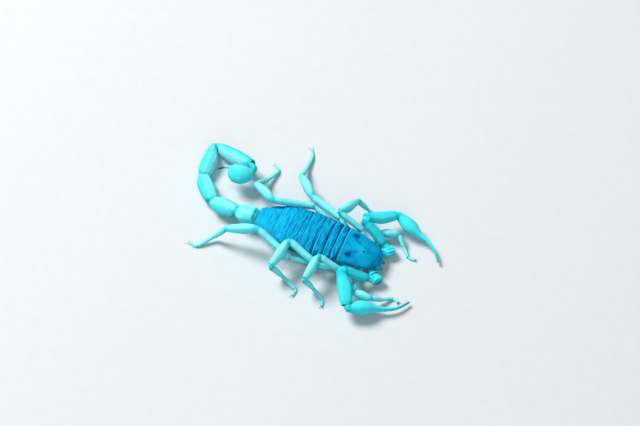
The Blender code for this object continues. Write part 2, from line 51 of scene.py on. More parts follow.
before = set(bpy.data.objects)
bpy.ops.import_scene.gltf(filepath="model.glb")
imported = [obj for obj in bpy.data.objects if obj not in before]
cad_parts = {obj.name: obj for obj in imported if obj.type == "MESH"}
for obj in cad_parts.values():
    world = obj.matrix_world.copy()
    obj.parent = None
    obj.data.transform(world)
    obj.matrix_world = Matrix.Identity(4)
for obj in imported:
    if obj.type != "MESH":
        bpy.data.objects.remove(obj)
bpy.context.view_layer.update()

MM = 0.001
UP = np.array((0.0, 0.0, 1.0))
SIDES = {"left": 1, "right": -1}
PAIRS = (1, 2, 3, 4)
BACK_PLATES = range(1, 8)
BELLY_PLATES = range(2, 8)
LAST_PLATE = 7

# reading the solids: how near two corners are one, how flat a cap is in degrees, how near two corners
# are on one cross-section or edge, and the width below which a cross-section only closes a plate's end
WELD = 1e-7
FLAT_ANGLE = 0.2
SAME_SECTION = 2e-7
SAME_EDGE = 1e-6
NARROWEST_SECTION = 2.5 * MM

# corners in each ring of the frame's solids
LEG_CORNERS = 8
PINCER_CORNERS = 10
TAIL_CORNERS = 12

# how far each tail piece is rolled from upright towards the inside of the curl
TAIL_ROLLS = {
    "metasoma_1": 15, "metasoma_2": 45, "metasoma_3": 72, "metasoma_4": 85, "metasoma_5": 85,
    "vesicle": 78, "aculeus": 78}


# ---------------------------------------------------------------- colours and sizes
def linear(code):
    """An sRGB hex code as linear red, green and blue with full alpha."""
    values = []
    for start in (1, 3, 5):
        value = int(code[start:start + 2], 16) / 255
        values.append(value / 12.92 if value <= 0.04045 else ((value + 0.055) / 1.055) ** 2.4)
    return (*values, 1.0)


def colour(name, description, code):
    """A colour property with its default given as an sRGB hex code."""
    return FloatVectorProperty(
        name=name, description=description, subtype="COLOR", size=4, min=0, max=1, default=linear(code))


def length(name, description, millimetres):
    """A length property with its default given in millimetres."""
    return FloatProperty(
        name=name, description=description, unit="LENGTH", min=0, precision=5, default=millimetres * MM)


class ScorpionColours(bpy.types.PropertyGroup):
    plate_dark: colour("Plate, dark", "Front of each back plate, where the one before shades it", "#01447C")
    plate_base: colour("Plate", "Back plates and head shield", "#02ADDD")
    # plate_pale also colours the painted highlight on the rear rims, beside their thicker chitin
    plate_pale: colour("Plate, pale", "Rear rims of the back plates", "#12D6FA")
    # the limb and pincer shades also colour the painted light on top and the painted shade below of legs,
    # tail and arms
    limb_dark: colour("Limb, dark", "Joints and furrows of legs and tail", "#008C94")
    limb_base: colour("Limb", "Legs and tail", "#46E6EC")
    limb_pale: colour("Limb, pale", "Keels and worn ridges of legs and tail", "#ACFFFF")
    pincer_dark: colour("Pincer, dark", "Joints and finger tips of the pincers", "#036F86")
    pincer_base: colour("Pincer", "Arms and hands of the pincers", "#08CEDC")
    pincer_pale: colour("Pincer, pale", "Ridges of the pincers", "#4EF2F8")
    # belly_dark, skin_base and limb_base also colour the painted shade in the creases and folds of the soft
    # skin
    belly_dark: colour("Belly, dark", "Seams of the underside", "#0B6E7C")
    belly_base: colour("Belly", "Plates of the underside", "#3FC4CC")
    skin_base: colour("Skin", "Soft skin between the plates and at the joints", "#36C4D0")
    eye_black: colour("Eye", "Lenses of the eyes", "#020810")
    sting_tip: colour("Sting tip", "Hardened tip of the sting and of the claws", "#0B2430")
    bristle: colour("Bristle", "Bristles of limbs and tail", "#8FE9EA")


class ScorpionSizes(bpy.types.PropertyGroup):
    plate_thickness: length("Plate thickness", "Wall of a back or belly plate", 0.10)
    rim_rise: length("Rim rise", "How far a back plate's rear rim stands up", 0.07)
    rim_overhang: length("Rim overhang", "How far a back plate reaches over the next", 0.16)
    tuck: length("Tuck", "How far a back plate's front edge dips under the one before", 0.16)
    granule: length("Granule", "Radius of the grains on the plates", 0.062)
    keel_granule: length("Keel grain", "Radius of the grains along a keel", 0.075)
    keel_spacing: length("Keel grain spacing", "Distance between the grains along a keel", 0.25)
    skin_fold: length("Skin fold", "Distance between two folds of the soft side skin", 0.52)
    claw_length: length("Claw length", "Length of a foot's claws", 0.85)
    bristle_length: length("Bristle length", "Length of a usual bristle", 0.75)
    bristle_thickness: length("Bristle thickness", "Thickness of a bristle at its root", 0.045)
    grains_on_shield: IntProperty(
        name="Grains on the shield", description="Grains scattered over the head shield", min=0, default=620)
    lens: FloatProperty(
        name="Lens", description="Focal length of the camera", unit="CAMERA", min=1, default=100.0)


# ---------------------------------------------------------------- reading the frame
def cad_rings(node, corners, start):
    """The rings of corner points that a solid is built from, beginning with the cap nearest start."""
    solid = bmesh.new()
    solid.from_mesh(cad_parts[node].data)
    bmesh.ops.remove_doubles(solid, verts=solid.verts, dist=WELD)
    flats = solid.copy()
    bmesh.ops.dissolve_limit(
        flats, angle_limit=math.radians(FLAT_ANGLE), verts=flats.verts, edges=flats.edges)
    caps = [face for face in flats.faces if len(face.verts) == corners]
    cap = min(caps, key=lambda face: (face.calc_center_median() - Vector(start)).length)
    ring = [min(solid.verts, key=lambda vertex: (vertex.co - corner.co).length) for corner in cap.verts]
    flats.free()
    rings, seen = [], set(ring)
    while ring:
        rings.append(np.array([vertex.co for vertex in ring]))
        found = {edge.other_vert(vertex) for vertex in ring for edge in vertex.link_edges} - seen
        ring = sorted(found, key=lambda vertex: vertex.index)
        seen.update(ring)
    solid.free()
    ends = [np.linalg.norm(rings[index].mean(axis=0) - start) for index in (0, -1)]
    return rings if ends[0] < ends[1] else rings[::-1]


def unit(vectors):
    """Vectors scaled to length 1, one or a row of them."""
    vectors = np.asarray(vectors, float)
    return vectors / np.linalg.norm(vectors, axis=-1, keepdims=True)


def squared(value, squareness):
    """A sine or cosine with its sign, raised to a power that makes a round section squarer below 1."""
    return math.copysign(abs(value) ** squareness, value)


class Spine:
    """The middle line of a piece with its cross-sections, read off a solid's rings."""

    def __init__(self, rings, roll=0.0):
        middles = np.array([ring.mean(axis=0) for ring in rings])
        along = unit(np.gradient(middles, axis=0))
        turn = math.radians(roll)
        rows = []
        for ring, middle, forward in zip(rings, middles, along):
            lift = UP * math.cos(turn) + unit(np.cross(forward, UP)) * math.sin(turn)
            across = unit(np.cross(lift, forward))
            up = np.cross(forward, across)
            sideways = (ring - middle) @ across
            centre = (ring[sideways.argmin()] + ring[sideways.argmax()]) / 2
            rise = (ring - centre) @ up
            half_width = (sideways.max() - sideways.min()) / 2
            rows.append((*centre, *forward, *across, half_width, rise.max(), -rise.min()))
        self.table = np.array(rows)
        steps = np.linalg.norm(np.diff(self.table[:, :3], axis=0), axis=1)
        self.length = steps.sum()
        self.places = np.concatenate(([0.0], np.cumsum(steps))) / self.length

    def at(self, place):
        """Middle, along, across, up, half width, top and bottom at a place from 0 to 1, or a little past."""
        row = np.array([np.interp(place, self.places, column) for column in self.table.T])
        along = unit(row[3:6])
        across = unit(row[6:9] - along * (row[6:9] @ along))
        past = place - min(max(place, 0.0), 1.0)
        centre = row[:3] + along * past * self.length
        return centre, along, across, np.cross(along, across), row[9], row[10], row[11]

    def point(self, place, angle, grow=1.0, squareness=1.0):
        """The point of the surface at a place and an angle round the piece, in radians."""
        centre, _, across, up, half_width, top, bottom = self.at(place)
        sideways, rise = squared(math.cos(angle), squareness), squared(math.sin(angle), squareness)
        depth = top if rise > 0 else bottom
        return centre + (across * sideways * half_width + up * rise * depth) * grow

    def outward(self, place, angle):
        """The direction out of the surface there."""
        _, _, across, up, half_width, top, bottom = self.at(place)
        depth = top if math.sin(angle) > 0 else bottom
        return unit(across * math.cos(angle) / half_width + up * math.sin(angle) / depth)


def trunk_sections():
    """Rows of (y, middle x, half width, crest, edge, belly) for the head shield and each back plate."""
    found = {}
    for node in ["carapace"] + [f"mesosoma_{index}" for index in BACK_PLATES]:
        points = np.array([vertex.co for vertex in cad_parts[node].data.vertices])
        rows = []
        for y in sorted({round(float(value), 7) for value in points[:, 1]}):
            ring = points[np.abs(points[:, 1] - y) < SAME_SECTION]
            reach = ring[:, 0].max() - ring[:, 0].min()
            if reach < NARROWEST_SECTION:
                continue
            widest = ring[np.abs(ring[:, 0] - ring[:, 0].max()) < SAME_EDGE]
            middle = (ring[:, 0].max() + ring[:, 0].min()) / 2
            rows.append((y, middle, reach / 2, ring[:, 2].max(), widest[:, 2].mean(), ring[:, 2].min()))
        found[node] = np.array(rows)
    return found


TRUNK = trunk_sections()
TRUNK_MIDDLE = float(TRUNK["mesosoma_4"][0][1])


def trunk_at(table, y):
    """Half width, crest, edge and belly of the trunk at y, from one node's rows."""
    return [float(np.interp(y, table[:, 0], column)) for column in table.T[2:]]


# ---------------------------------------------------------------- modelling helpers
# degrees between two faces from which their edge stays sharp
SHARP_ANGLE = 40


def deselect():
    """Leave edit mode and drop the selection, so that the next operator acts on its own piece only."""
    if bpy.context.object and bpy.context.object.mode != "OBJECT":
        bpy.ops.object.mode_set(mode="OBJECT")
    bpy.ops.object.select_all(action="DESELECT")


def activate(obj):
    """Select only this piece."""
    deselect()
    obj.select_set(True)
    bpy.context.view_layer.objects.active = obj


def name_piece(name):
    """Name the primitive that was just added."""
    obj = bpy.context.object
    obj.name = name
    obj.data.name = name
    return obj


def store_tone(obj, tones):
    """Keep a shade from 0 dark to 1 pale at each corner, or one for all, for the finish to read."""
    attribute = obj.data.attributes.new("tone", "FLOAT", "POINT")
    attribute.data.foreach_set("value", np.full(len(obj.data.vertices), tones, np.float32))


def apply_modifier(obj, kind, **settings):
    """Add one modifier with its settings and apply it."""
    activate(obj)
    modifier = obj.modifiers.new(kind.lower(), kind)
    for key, value in settings.items():
        setattr(modifier, key, value)
    bpy.ops.object.modifier_apply(modifier=modifier.name)


def subdivided(obj):
    """Round a mesh off by one step of subdivision."""
    apply_modifier(obj, "SUBSURF", levels=1, render_levels=1)
    return obj


def tube(name, corners, rows, point, tone):
    """A closed tube: a cylinder cut into rings, whose corners go to point(row, angle) for each row."""
    deselect()
    last = len(rows) - 1
    bpy.ops.mesh.primitive_cylinder_add(vertices=corners, radius=1.0, depth=last, end_fill_type="NGON")
    obj = name_piece(name)
    mesh = obj.data
    bpy.ops.object.mode_set(mode="EDIT")
    bpy.ops.mesh.select_mode(type="EDGE")
    bpy.ops.mesh.select_all(action="DESELECT")
    bpy.ops.object.mode_set(mode="OBJECT")
    for edge in mesh.edges:
        low, high = (mesh.vertices[index].co.z for index in edge.vertices)
        edge.select = abs(high - low) > last / 2
    bpy.ops.object.mode_set(mode="EDIT")
    if last > 1:
        bpy.ops.mesh.subdivide(number_cuts=last - 1)
    bpy.ops.object.mode_set(mode="OBJECT")
    tones = []
    for vertex in mesh.vertices:
        row = rows[round(vertex.co.z + last / 2)]
        angle = math.atan2(vertex.co.y, vertex.co.x)
        tones.append(tone(row, angle))
        x, y, z = point(row, angle)
        vertex.co = (x, y, max(z, 0.0))
    store_tone(obj, tones)
    return subdivided(obj)


def sheet(name, columns, rows, point, tone, thickness):
    """A shell plate: a grid whose corners go to point(u, v), given a wall and a soft edge."""
    deselect()
    bpy.ops.mesh.primitive_grid_add(x_subdivisions=columns, y_subdivisions=rows, size=2.0)
    obj = name_piece(name)
    tones = []
    for vertex in obj.data.vertices:
        u, v = (vertex.co.x + 1) / 2, (vertex.co.y + 1) / 2
        tones.append(tone(u, v))
        vertex.co = point(u, v)
    store_tone(obj, tones)
    apply_modifier(obj, "SOLIDIFY", thickness=thickness, offset=-1.0)
    return subdivided(obj)


def ball(name, segments, rings, radius=1.0, middle=(0, 0, 0)):
    """A round lump with its place in its mesh, to be pressed into shape or left as a lens."""
    deselect()
    bpy.ops.mesh.primitive_uv_sphere_add(
        segments=segments, ring_count=rings, radius=radius, location=middle)
    obj = name_piece(name)
    bpy.ops.object.transform_apply(location=True)
    return obj


def join(name, pieces):
    """Join pieces into one mesh with its own name."""
    activate(pieces[0])
    for piece in pieces[1:]:
        piece.select_set(True)
    if len(pieces) > 1:
        bpy.ops.object.join()
    return name_piece(name)


def finish_piece(obj, finish, slot, *nodes):
    """Give a piece its finish and smooth shading, let it ride and hide the solids it stands for; slot is not
    used.
    """
    obj.data.materials.clear()
    obj.data.materials.append(finish)
    activate(obj)
    bpy.ops.object.shade_smooth_by_angle(angle=math.radians(SHARP_ANGLE))
    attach(obj, "root")
    if nodes:
        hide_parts(*nodes)
    return obj


def ramp(value, low, high):
    """0 below low, 1 above high, and smooth between."""
    share = min(max((value - low) / (high - low), 0.0), 1.0)
    return share * share * (3 - 2 * share)


def hump(value, centre, spread):
    """1 at the centre, falling off smoothly on both sides."""
    return math.exp(-((value - centre) / spread) ** 2)


def turn_between(angle, target):
    """Difference of two angles in degrees, from -180 to 180."""
    return (angle - target + 180) % 360 - 180


def keeled(keels, fade=0.12, end=1.0):
    """A factor on the radius that raises keels, given as (angle, height, spread), along a piece."""
    def factor(place, angle):
        degrees = math.degrees(angle)
        strength = ramp(place, 0.0, fade) * ramp(end - place, 0.0, fade)
        bulge = sum(height * hump(turn_between(degrees, at), 0, spread) for at, height, spread in keels)
        return 1 + bulge * strength
    return factor


# ends of a segment: distance from the end in half widths, with the share of the section there;
# PLUG and WRIST begin a segment, TAIL_HEAD and SQUARE close it flat, and the others end it
PLUG = ((0.0, 0.35), (0.03, 0.60), (0.14, 0.84), (0.34, 0.97))
COLLAR = ((0.45, 1.0), (0.18, 1.035), (0.04, 1.03), (0.0, 0.92), (0.10, 0.74), (0.30, 0.50))
BLUNT = ((0.40, 0.99), (0.16, 0.90), (0.04, 0.68), (0.0, 0.38))
POINTED = ((1.6, 1.0), (0.8, 0.86), (0.25, 0.6), (0.0, 0.2))
FAN = ((1.3, 0.94), (0.9, 1.08), (0.5, 1.34), (0.22, 1.62), (0.08, 1.66), (0.02, 1.40), (0.0, 0.8))
WRIST = ((0.0, 0.45), (0.03, 0.72), (0.16, 0.90), (0.5, 0.98), (1.0, 1.0))
SQUARE = ((0.10, 1.0), (0.02, 0.96), (0.0, 0.84), (0.0, 0.5))


def stations(spine, count, span=(0.0, 1.0), head=PLUG, tail=COLLAR):
    """Places along a spine with their share of its section, and extra ones that shape both ends."""
    start, end = span
    first, last = (spine.at(place)[4] / spine.length for place in span)
    front = [(start + first * step, share) for step, share in head]
    back = [(end - last * step, share) for step, share in tail]
    middle = np.linspace(front[-1][0], back[0][0], count + 2)[1:-1]
    return front + [(place, 1.0) for place in middle] + back


def stout(place, extra=0.12):
    """Extra girth towards both ends, where one hard segment meets the next."""
    return 1.0 + extra * ramp(abs(2 * place - 1), 0.45, 0.95)


def stocky(place):
    """A little extra girth at both ends, for the thick segments of the arms."""
    return stout(place, 0.06)


def even_tone(*_):
    """The middle shade all over."""
    return 0.5


def even_girth(*_):
    """The solid's own girth from end to end."""
    return 1.0


# how much paler a segment is on its keels, and how much darker inside its drawn-in ends, as painted shade in
# the joint hollows and the dark of the pointed finger tips
KEEL_PALENESS = 1.6
END_SHADE = 0.5


def limb(name, spine, count=7, corners=16, span=(0.0, 1.0), keels=(), squareness=1.0, grow=1.05,
         tone=even_tone, head=PLUG, tail=COLLAR, fade=0.12, girth=even_girth):
    """A limb segment along a spine with shaped ends and raised keels, paler on the ridges."""
    raised = keeled(keels, fade, span[1])

    def point(row, angle):
        place, share = row
        return spine.point(place, angle, raised(place, angle) * share * grow * girth(place), squareness)

    def shade_at(row, angle):
        place, share = row
        paler = KEEL_PALENESS * (raised(place, angle) - 1)
        # paler on the keels, with painted shade where the ends draw in
        return tone(place, angle) + paler - END_SHADE * (1 - min(share, 1.0))
    return tube(name, corners, stations(spine, count, span, head, tail), point, shade_at)


def tone_of(place, angle, base, middle, start, front, rear, light):
    """Base shade at the joints, a middle part that is paler, and a top painted paler than the underside by
    light: painted light above, painted shade below.
    """
    ends = min(ramp(place, start, front), ramp(1 - place, start, rear))
    return base + middle * ends + light * math.sin(angle)


def limb_tone(place, angle):
    """Darker towards the joints, with painted light on top and painted shade below."""
    return tone_of(place, angle, 0.33, 0.17, -0.06, 0.10, 0.08, 0.26)


# ---------------------------------------------------------------- small things in great number
def copies(name, template, spots):
    """One mesh of many copies of a small template, each at (middle, out, size, twist)."""
    points = np.array([vertex.co for vertex in template.data.vertices])
    faces = [list(face.vertices) for face in template.data.polygons]
    corners, polygons = [], []
    for number, (middle, out, size, twist) in enumerate(spots):
        out = unit(out)
        side = unit(np.cross(out, twist))
        turned = np.array((side, np.cross(out, side), out))
        first = number * len(points)
        corners.append(np.asarray(middle) + (points * np.asarray(size)) @ turned)
        polygons += [[first + index for index in face] for face in faces]
    mesh = bpy.data.meshes.new(name)
    mesh.from_pydata(np.concatenate(corners).tolist(), [], polygons)
    obj = bpy.data.objects.new(name, mesh)
    bpy.context.scene.collection.objects.link(obj)
    return obj


def seated(body, spots, sink=0.0):
    """Spots (middle, out, ...) moved onto the nearest place of a finished body, facing out of it."""
    tree = BVHTree.FromPolygons(
        [vertex.co for vertex in body.data.vertices], [face.vertices for face in body.data.polygons])
    moved = []
    for middle, out, *rest in spots:
        place, normal, *_ = tree.find_nearest(Vector(middle))
        normal = np.array(normal)
        moved.append((np.array(place) - normal * sink, normal if sink == 0 else out, *rest))
    return moved


# a direction that turns every grain the same way round its own axis, and the share of the radius at
# which a keel's grains are looked for
GRAIN_TWIST = (0.31, 0.52, 0.79)
GRAIN_SINK = 0.985


def add_grains(name, body, spots, tone, tall=0.8):
    """Low round grains at (middle, out, radius), half sunk in a body's surface and clear of the ground."""
    deselect()
    bpy.ops.mesh.primitive_ico_sphere_add(subdivisions=1, radius=1.0)
    template = name_piece("grain_template")
    placed = [
        (middle, out, (radius, radius, radius * tall), GRAIN_TWIST)
        for middle, out, radius in seated(body, spots) if middle[2] > radius]
    obj = copies(name, template, placed)
    bpy.data.objects.remove(template, do_unlink=True)
    store_tone(obj, tone)
    return obj


def plate_grains(point, count, seed, draw_place, granule, smallest, largest):
    """Spots of grains scattered over a plate, at the places u and v that draw_place draws."""
    draw = random.Random(seed)
    spots = []
    for _ in range(count):
        u, v = draw_place(draw)
        middle = point(u, v)
        out = unit(np.cross(point(u + 0.01, v) - middle, point(u, v + 0.01) - middle))
        spots.append((middle, out if out[2] > 0 else -out, granule * draw.uniform(smallest, largest)))
    return spots


def keel_grains(spine, angles, factor, spacing, radius, seed, span=(0.06, 0.97), squareness=1.0):
    """Spots of grains in rows along a spine's keels, a little uneven."""
    draw = random.Random(seed)
    spots = []
    for degrees in angles:
        angle = math.radians(degrees)
        steps = max(int(spine.length * (span[1] - span[0]) / spacing), 2)
        for step in range(steps):
            place = span[0] + (span[1] - span[0]) * (step + draw.uniform(0.3, 0.7)) / steps
            middle = spine.point(place, angle, factor(place, angle) * GRAIN_SINK, squareness)
            spots.append((middle, spine.outward(place, angle), radius * draw.uniform(0.75, 1.15)))
    return spots


# rings of a hook from its root to its tip, and its thickness at the tip as a share of the root's
HORN_PLACES = (0.0, 0.2, 0.45, 0.7, 0.9, 1.0)
HORN_TIP = 0.16


def horn(name, base, direction, droop, reach, thickness, corners=8, tones=(0.6, 0.0)):
    """A curved tapering hook: a claw, tooth or spur that bends towards droop."""
    direction, droop = unit(direction), np.asarray(droop, float)

    def point(place, angle):
        centre = base + direction * reach * place + droop * reach * place ** 2
        forward = unit(direction + droop * 2 * place)
        across = unit(np.cross(forward, droop + UP * 1e-3))
        radius = thickness * (1 - (1 - HORN_TIP) * place ** 0.8)
        return centre + (across * math.cos(angle) - np.cross(across, forward) * math.sin(angle)) * radius

    def tone(place, _):
        return tones[0] + (tones[1] - tones[0]) * ramp(place, 0.25, 0.9)
    return tube(name, corners, HORN_PLACES, point, tone)


# ---------------------------------------------------------------- finishes
# how strongly chitin bends light, the width in millimetres of a streak on a back plate and how far it is
# drawn out sideways, and the shade of a pit in the middle of its cell
CHITIN_IOR = 1.56
STREAK_WIDTH = 0.38
STREAK_STRETCH = (0.15, 1.0, 1.0)
PIT_SHADE = {"From Min": 0.07, "From Max": 0.14, "To Min": -0.34, "To Max": 0.0}


def add_node(tree, kind, values=None, links=None, **settings):
    """Add a node with its settings, the values of its inputs and links into them."""
    node = tree.nodes.new(kind)
    for key, value in settings.items():
        setattr(node, key, value)
    for key, value in (values or {}).items():
        node.inputs[key].default_value = value
    for key, socket in (links or {}).items():
        tree.links.new(socket, node.inputs[key])
    return node


def start_finish(name):
    """A new material, its nodes, its shader and the place on the piece that its patterns read."""
    material = bpy.data.materials.new(name)
    material.use_nodes = True
    tree = material.node_tree
    place = add_node(tree, "ShaderNodeTexCoord").outputs["Object"]
    return material, tree, tree.nodes["Principled BSDF"], place


def cuticle(name, shades, mottle, grain, depth, roughness, coat=0.0, variation=0.30, shine=0.2,
            streaks=0.0, pits=0.0):
    """Chitin shell: three shades led by the tone, mottled, with a fine grain in relief (sizes in mm)."""
    material, tree, shader, place = start_finish(name)
    tone = add_node(tree, "ShaderNodeAttribute", attribute_name="tone").outputs["Fac"]
    cloud = add_node(
        tree, "ShaderNodeTexNoise", {"Scale": 1 / (mottle * MM), "Detail": 3.0, "Roughness": 0.6},
        {"Vector": place}).outputs["Fac"]
    shifted = add_node(
        tree, "ShaderNodeMath", {1: variation, 2: -variation / 2}, {0: cloud}, operation="MULTIPLY_ADD")
    total = add_node(tree, "ShaderNodeMath", None, {0: tone, 1: shifted.outputs[0]}, operation="ADD")
    if streaks:
        stretched = add_node(
            tree, "ShaderNodeMapping", {"Scale": STREAK_STRETCH}, {"Vector": place}).outputs["Vector"]
        lines = add_node(
            tree, "ShaderNodeTexNoise",
            {"Scale": 1 / (STREAK_WIDTH * MM), "Detail": 3.0, "Roughness": 0.55},
            {"Vector": stretched}).outputs["Fac"]
        total = add_node(
            tree, "ShaderNodeMath", {1: streaks}, {0: lines, 2: total.outputs[0]}, operation="MULTIPLY_ADD")
        total = add_node(
            tree, "ShaderNodeMath", {1: streaks / 2}, {0: total.outputs[0]}, operation="SUBTRACT")
    if pits:
        cells = add_node(
            tree, "ShaderNodeTexVoronoi", {"Scale": 1 / (pits * MM)}, {"Vector": place}).outputs["Distance"]
        dots = add_node(tree, "ShaderNodeMapRange", PIT_SHADE, {"Value": cells})
        total = add_node(
            tree, "ShaderNodeMath", None, {0: total.outputs[0], 1: dots.outputs["Result"]}, operation="ADD")
    blend = add_node(tree, "ShaderNodeValToRGB", None, {"Fac": total.outputs[0]})
    stops = blend.color_ramp.elements
    stops[0].color, middle, stops[1].color = shades
    stops.new(0.5).color = middle
    tree.links.new(blend.outputs["Color"], shader.inputs["Base Color"])
    relief = add_node(
        tree, "ShaderNodeTexNoise", {"Scale": 1 / (grain * MM), "Detail": 2.0, "Roughness": 0.5},
        {"Vector": place}).outputs["Fac"]
    bump = add_node(
        tree, "ShaderNodeBump", {"Strength": 0.6, "Distance": depth * MM}, {"Height": relief})
    tree.links.new(bump.outputs["Normal"], shader.inputs["Normal"])
    worn = add_node(
        tree, "ShaderNodeMapRange", {"To Min": roughness - 0.08, "To Max": roughness + 0.10},
        {"Value": cloud})
    tree.links.new(worn.outputs["Result"], shader.inputs["Roughness"])
    shader.inputs["IOR"].default_value = CHITIN_IOR
    shader.inputs["Specular IOR Level"].default_value = shine
    shader.inputs["Coat Weight"].default_value = coat
    shader.inputs["Coat Roughness"].default_value = 0.25
    return material


def glossy(name, tint, roughness, mottle):
    """Hard clear lens: a deep colour with a slight cloud (its size in mm) and a clear shine."""
    material, tree, shader, place = start_finish(name)
    cloud = add_node(
        tree, "ShaderNodeTexNoise", {"Scale": 1 / (mottle * MM)}, {"Vector": place}).outputs["Fac"]
    lighter = tuple(min(channel * 2.2 + 0.004, 1.0) for channel in tint[:3])
    shades = add_node(tree, "ShaderNodeValToRGB", None, {"Fac": cloud})
    shades.color_ramp.elements[0].color = tint
    shades.color_ramp.elements[1].color = (*lighter, 1.0)
    tree.links.new(shades.outputs["Color"], shader.inputs["Base Color"])
    shader.inputs["Roughness"].default_value = roughness
    shader.inputs["IOR"].default_value = CHITIN_IOR
    shader.inputs["Coat Weight"].default_value = 0.6
    shader.inputs["Coat Roughness"].default_value = 0.05
    return material


class Finishes:
    """The finishes of the animal, each made once."""

    def __init__(self, colours):
        back = colours.plate_dark, colours.plate_base, colours.plate_pale
        limbs = colours.limb_dark, colours.limb_base, colours.limb_pale
        arms = colours.pincer_dark, colours.pincer_base, colours.pincer_pale
        # granular chitin of the back: matt, deep blue with paler rims and thin dark streaks
        self.plate = cuticle(
            "granular_back_chitin", back, mottle=1.0, grain=0.16, depth=0.05, roughness=0.62,
            variation=0.36, shine=0.05, streaks=1.25)
        # the shield over the head: the same chitin, more even, with few streaks
        self.shield = cuticle(
            "granular_shield_chitin", back, mottle=1.5, grain=0.16, depth=0.05, roughness=0.62,
            variation=0.50, shine=0.05, streaks=0.30)
        # smooth waxy chitin of legs and tail: pale, with small dark pits and a soft sheen
        self.limb = cuticle(
            "waxy_limb_chitin", limbs, mottle=0.8, grain=0.12, depth=0.014, roughness=0.48,
            shine=0.10, pits=0.55)
        # thicker chitin of the pincers: deeper turquoise, with small dark pits
        self.pincer = cuticle(
            "polished_pincer_chitin", arms, mottle=1.1, grain=0.14, depth=0.014, roughness=0.46,
            shine=0.05, pits=0.50)
        # thin smooth chitin of the underside
        self.belly = cuticle(
            "thin_belly_chitin", (colours.belly_dark, colours.belly_base, colours.limb_base),
            mottle=1.2, grain=0.18, depth=0.010, roughness=0.45)
        # soft leathery skin: dull, finely creased
        self.skin = cuticle(
            "soft_joint_skin", (colours.belly_dark, colours.skin_base, colours.limb_base),
            mottle=0.5, grain=0.09, depth=0.03, roughness=0.68, shine=0.08)
        # the same skin at the joints of the pincer arms, in their deeper shade
        self.arm_skin = cuticle(
            "soft_arm_joint_skin", arms, mottle=0.5, grain=0.09, depth=0.03, roughness=0.68,
            shine=0.05)
        # hardened tip of the sting and of the claws: dark and shiny, fading into the limb's chitin
        self.sting = cuticle(
            "hardened_sting_chitin", (colours.sting_tip, colours.limb_dark, colours.limb_base),
            mottle=0.5, grain=0.2, depth=0.004, roughness=0.25, coat=0.4, variation=0.1)
        # clear cornea over black pigment
        self.eye = glossy("black_eye_lens", colours.eye_black, roughness=0.08, mottle=0.2)
        # stiff bristles of pale chitin, too thin to show more than their colour and a slight shine
        self.bristle = cuticle(
            "stiff_bristle_chitin", (colours.limb_dark, colours.bristle, colours.limb_pale),
            mottle=0.4, grain=0.2, depth=0.002, roughness=0.35)


_made = {}


def finishes(context):
    """The finishes, made when the first piece asks for one."""
    if not _made:
        _made["all"] = Finishes(context.scene.scorpion_colours)
    return _made["all"]


# ---------------------------------------------------------------- trunk
# how square the trunk's arch is, below 1; faces across and along the shield, across the plates, and the
# length of a row of faces on them
PLATE_SQUARENESS = 0.85
SHIELD_COLUMNS, SHIELD_ROWS = 44, 30
PLATE_COLUMNS, BELLY_COLUMNS = 40, 30
PLATE_ROW, BELLY_ROW = 0.16 * MM, 0.25 * MM

# length of a back plate's raised rear rim, and how far around the eyes the solid's own mound reaches in
# millimetres, which the shield's relief takes the place of
RIM_LENGTH = 0.20 * MM
MOUND_REACH = 1.2

# degrees by which a plate's arch reaches down past its edge on each side
PLATE_REACH = 4.0

# the belly plates that carry a pair of breathing slits
SPIRACLE_PLATES = (3, 4, 5, 6)

# grains on each millimetre of a back plate's length, and the seeds that grains are drawn from
BACK_GRAINS = 60
SHIELD_SEED, BACK_SEED = 11, 20

# shades of the seven back plates: at the front edge, painted dark as the shadow of the plate before, over
# the body, and added on the rear rim, partly its thicker chitin and partly a painted highlight
FRONT_SHADOW_TONES = (-0.30, -0.15, -0.15, -0.05, 0.12, 0.24, 0.32)
BODY_TONES = (0.44, 0.44, 0.46, 0.43, 0.43, 0.54, 0.55)
RIM_PALENESS_AND_HIGHLIGHT = (0.46, 0.42, 0.36, 0.30, 0.24, 0.14, 0.08)


def eye_mound():
    """Middle of the mound that carries the two median eyes, in millimetres."""
    lows, highs = zip(*(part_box("median_eye_" + side) for side in SIDES))
    middle = sum(lows + highs, Vector()) / 4
    return middle.x / MM, middle.y / MM


EYE_MOUND = eye_mound()


def shield_front(x):
    """How far the head shield's front edge is drawn back: a notch in the middle, rounded corners."""
    away = abs(x - TRUNK_MIDDLE) / MM
    return (0.20 * hump(away, 0, 0.75) + 0.75 * ramp(away, 1.0, 2.8)) * MM


def shield_groove(depth, away, front):
    """Depth of the slanting grooves behind the eyes, at millimetres from middle line and front edge."""
    return depth * hump(away, 1.3 + 0.5 * (front - 5.4), 0.40) * hump(front, 5.6, 0.9)


def shield_pits(depth, spread, away, front):
    """Depth of the two pits near the rear corners, at millimetres from middle line and front edge."""
    return depth * hump(away, 2.55, spread) * hump(front, 6.55, 0.75)


def shield_relief(x, y, first):
    """Height added to the head shield whose front edge is at y = first."""
    away, front = abs(x - TRUNK_MIDDLE) / MM, (y - first) / MM
    beside, behind = x / MM - EYE_MOUND[0], y / MM - EYE_MOUND[1]
    mound = 0.40 * hump(beside, 0, 0.62) * hump(behind, 0, 1.15)
    brows = 0.10 * hump(abs(beside), 0.42, 0.16) * hump(behind, 0, 0.8)
    between_brows = 0.10 * hump(beside, 0, 0.16) * hump(behind, 0, 0.9)
    front_furrow = 0.22 * hump(away, 0, 0.30) * ramp(-behind, 1.0, 1.8)
    rear_furrow = 0.24 * hump(away, 0, 0.28) * ramp(behind, 1.3, 2.2) * ramp(8.0 - front, 0.0, 0.9)
    side_eye_pads = 0.16 * hump(away, 2.15, 0.30) * hump(front, 0.85, 0.55)
    relief = mound + brows - between_brows - front_furrow - rear_furrow
    relief -= shield_pits(0.30, 0.50, away, front)
    relief -= shield_groove(0.26, away, front)
    return (relief + side_eye_pads) * MM


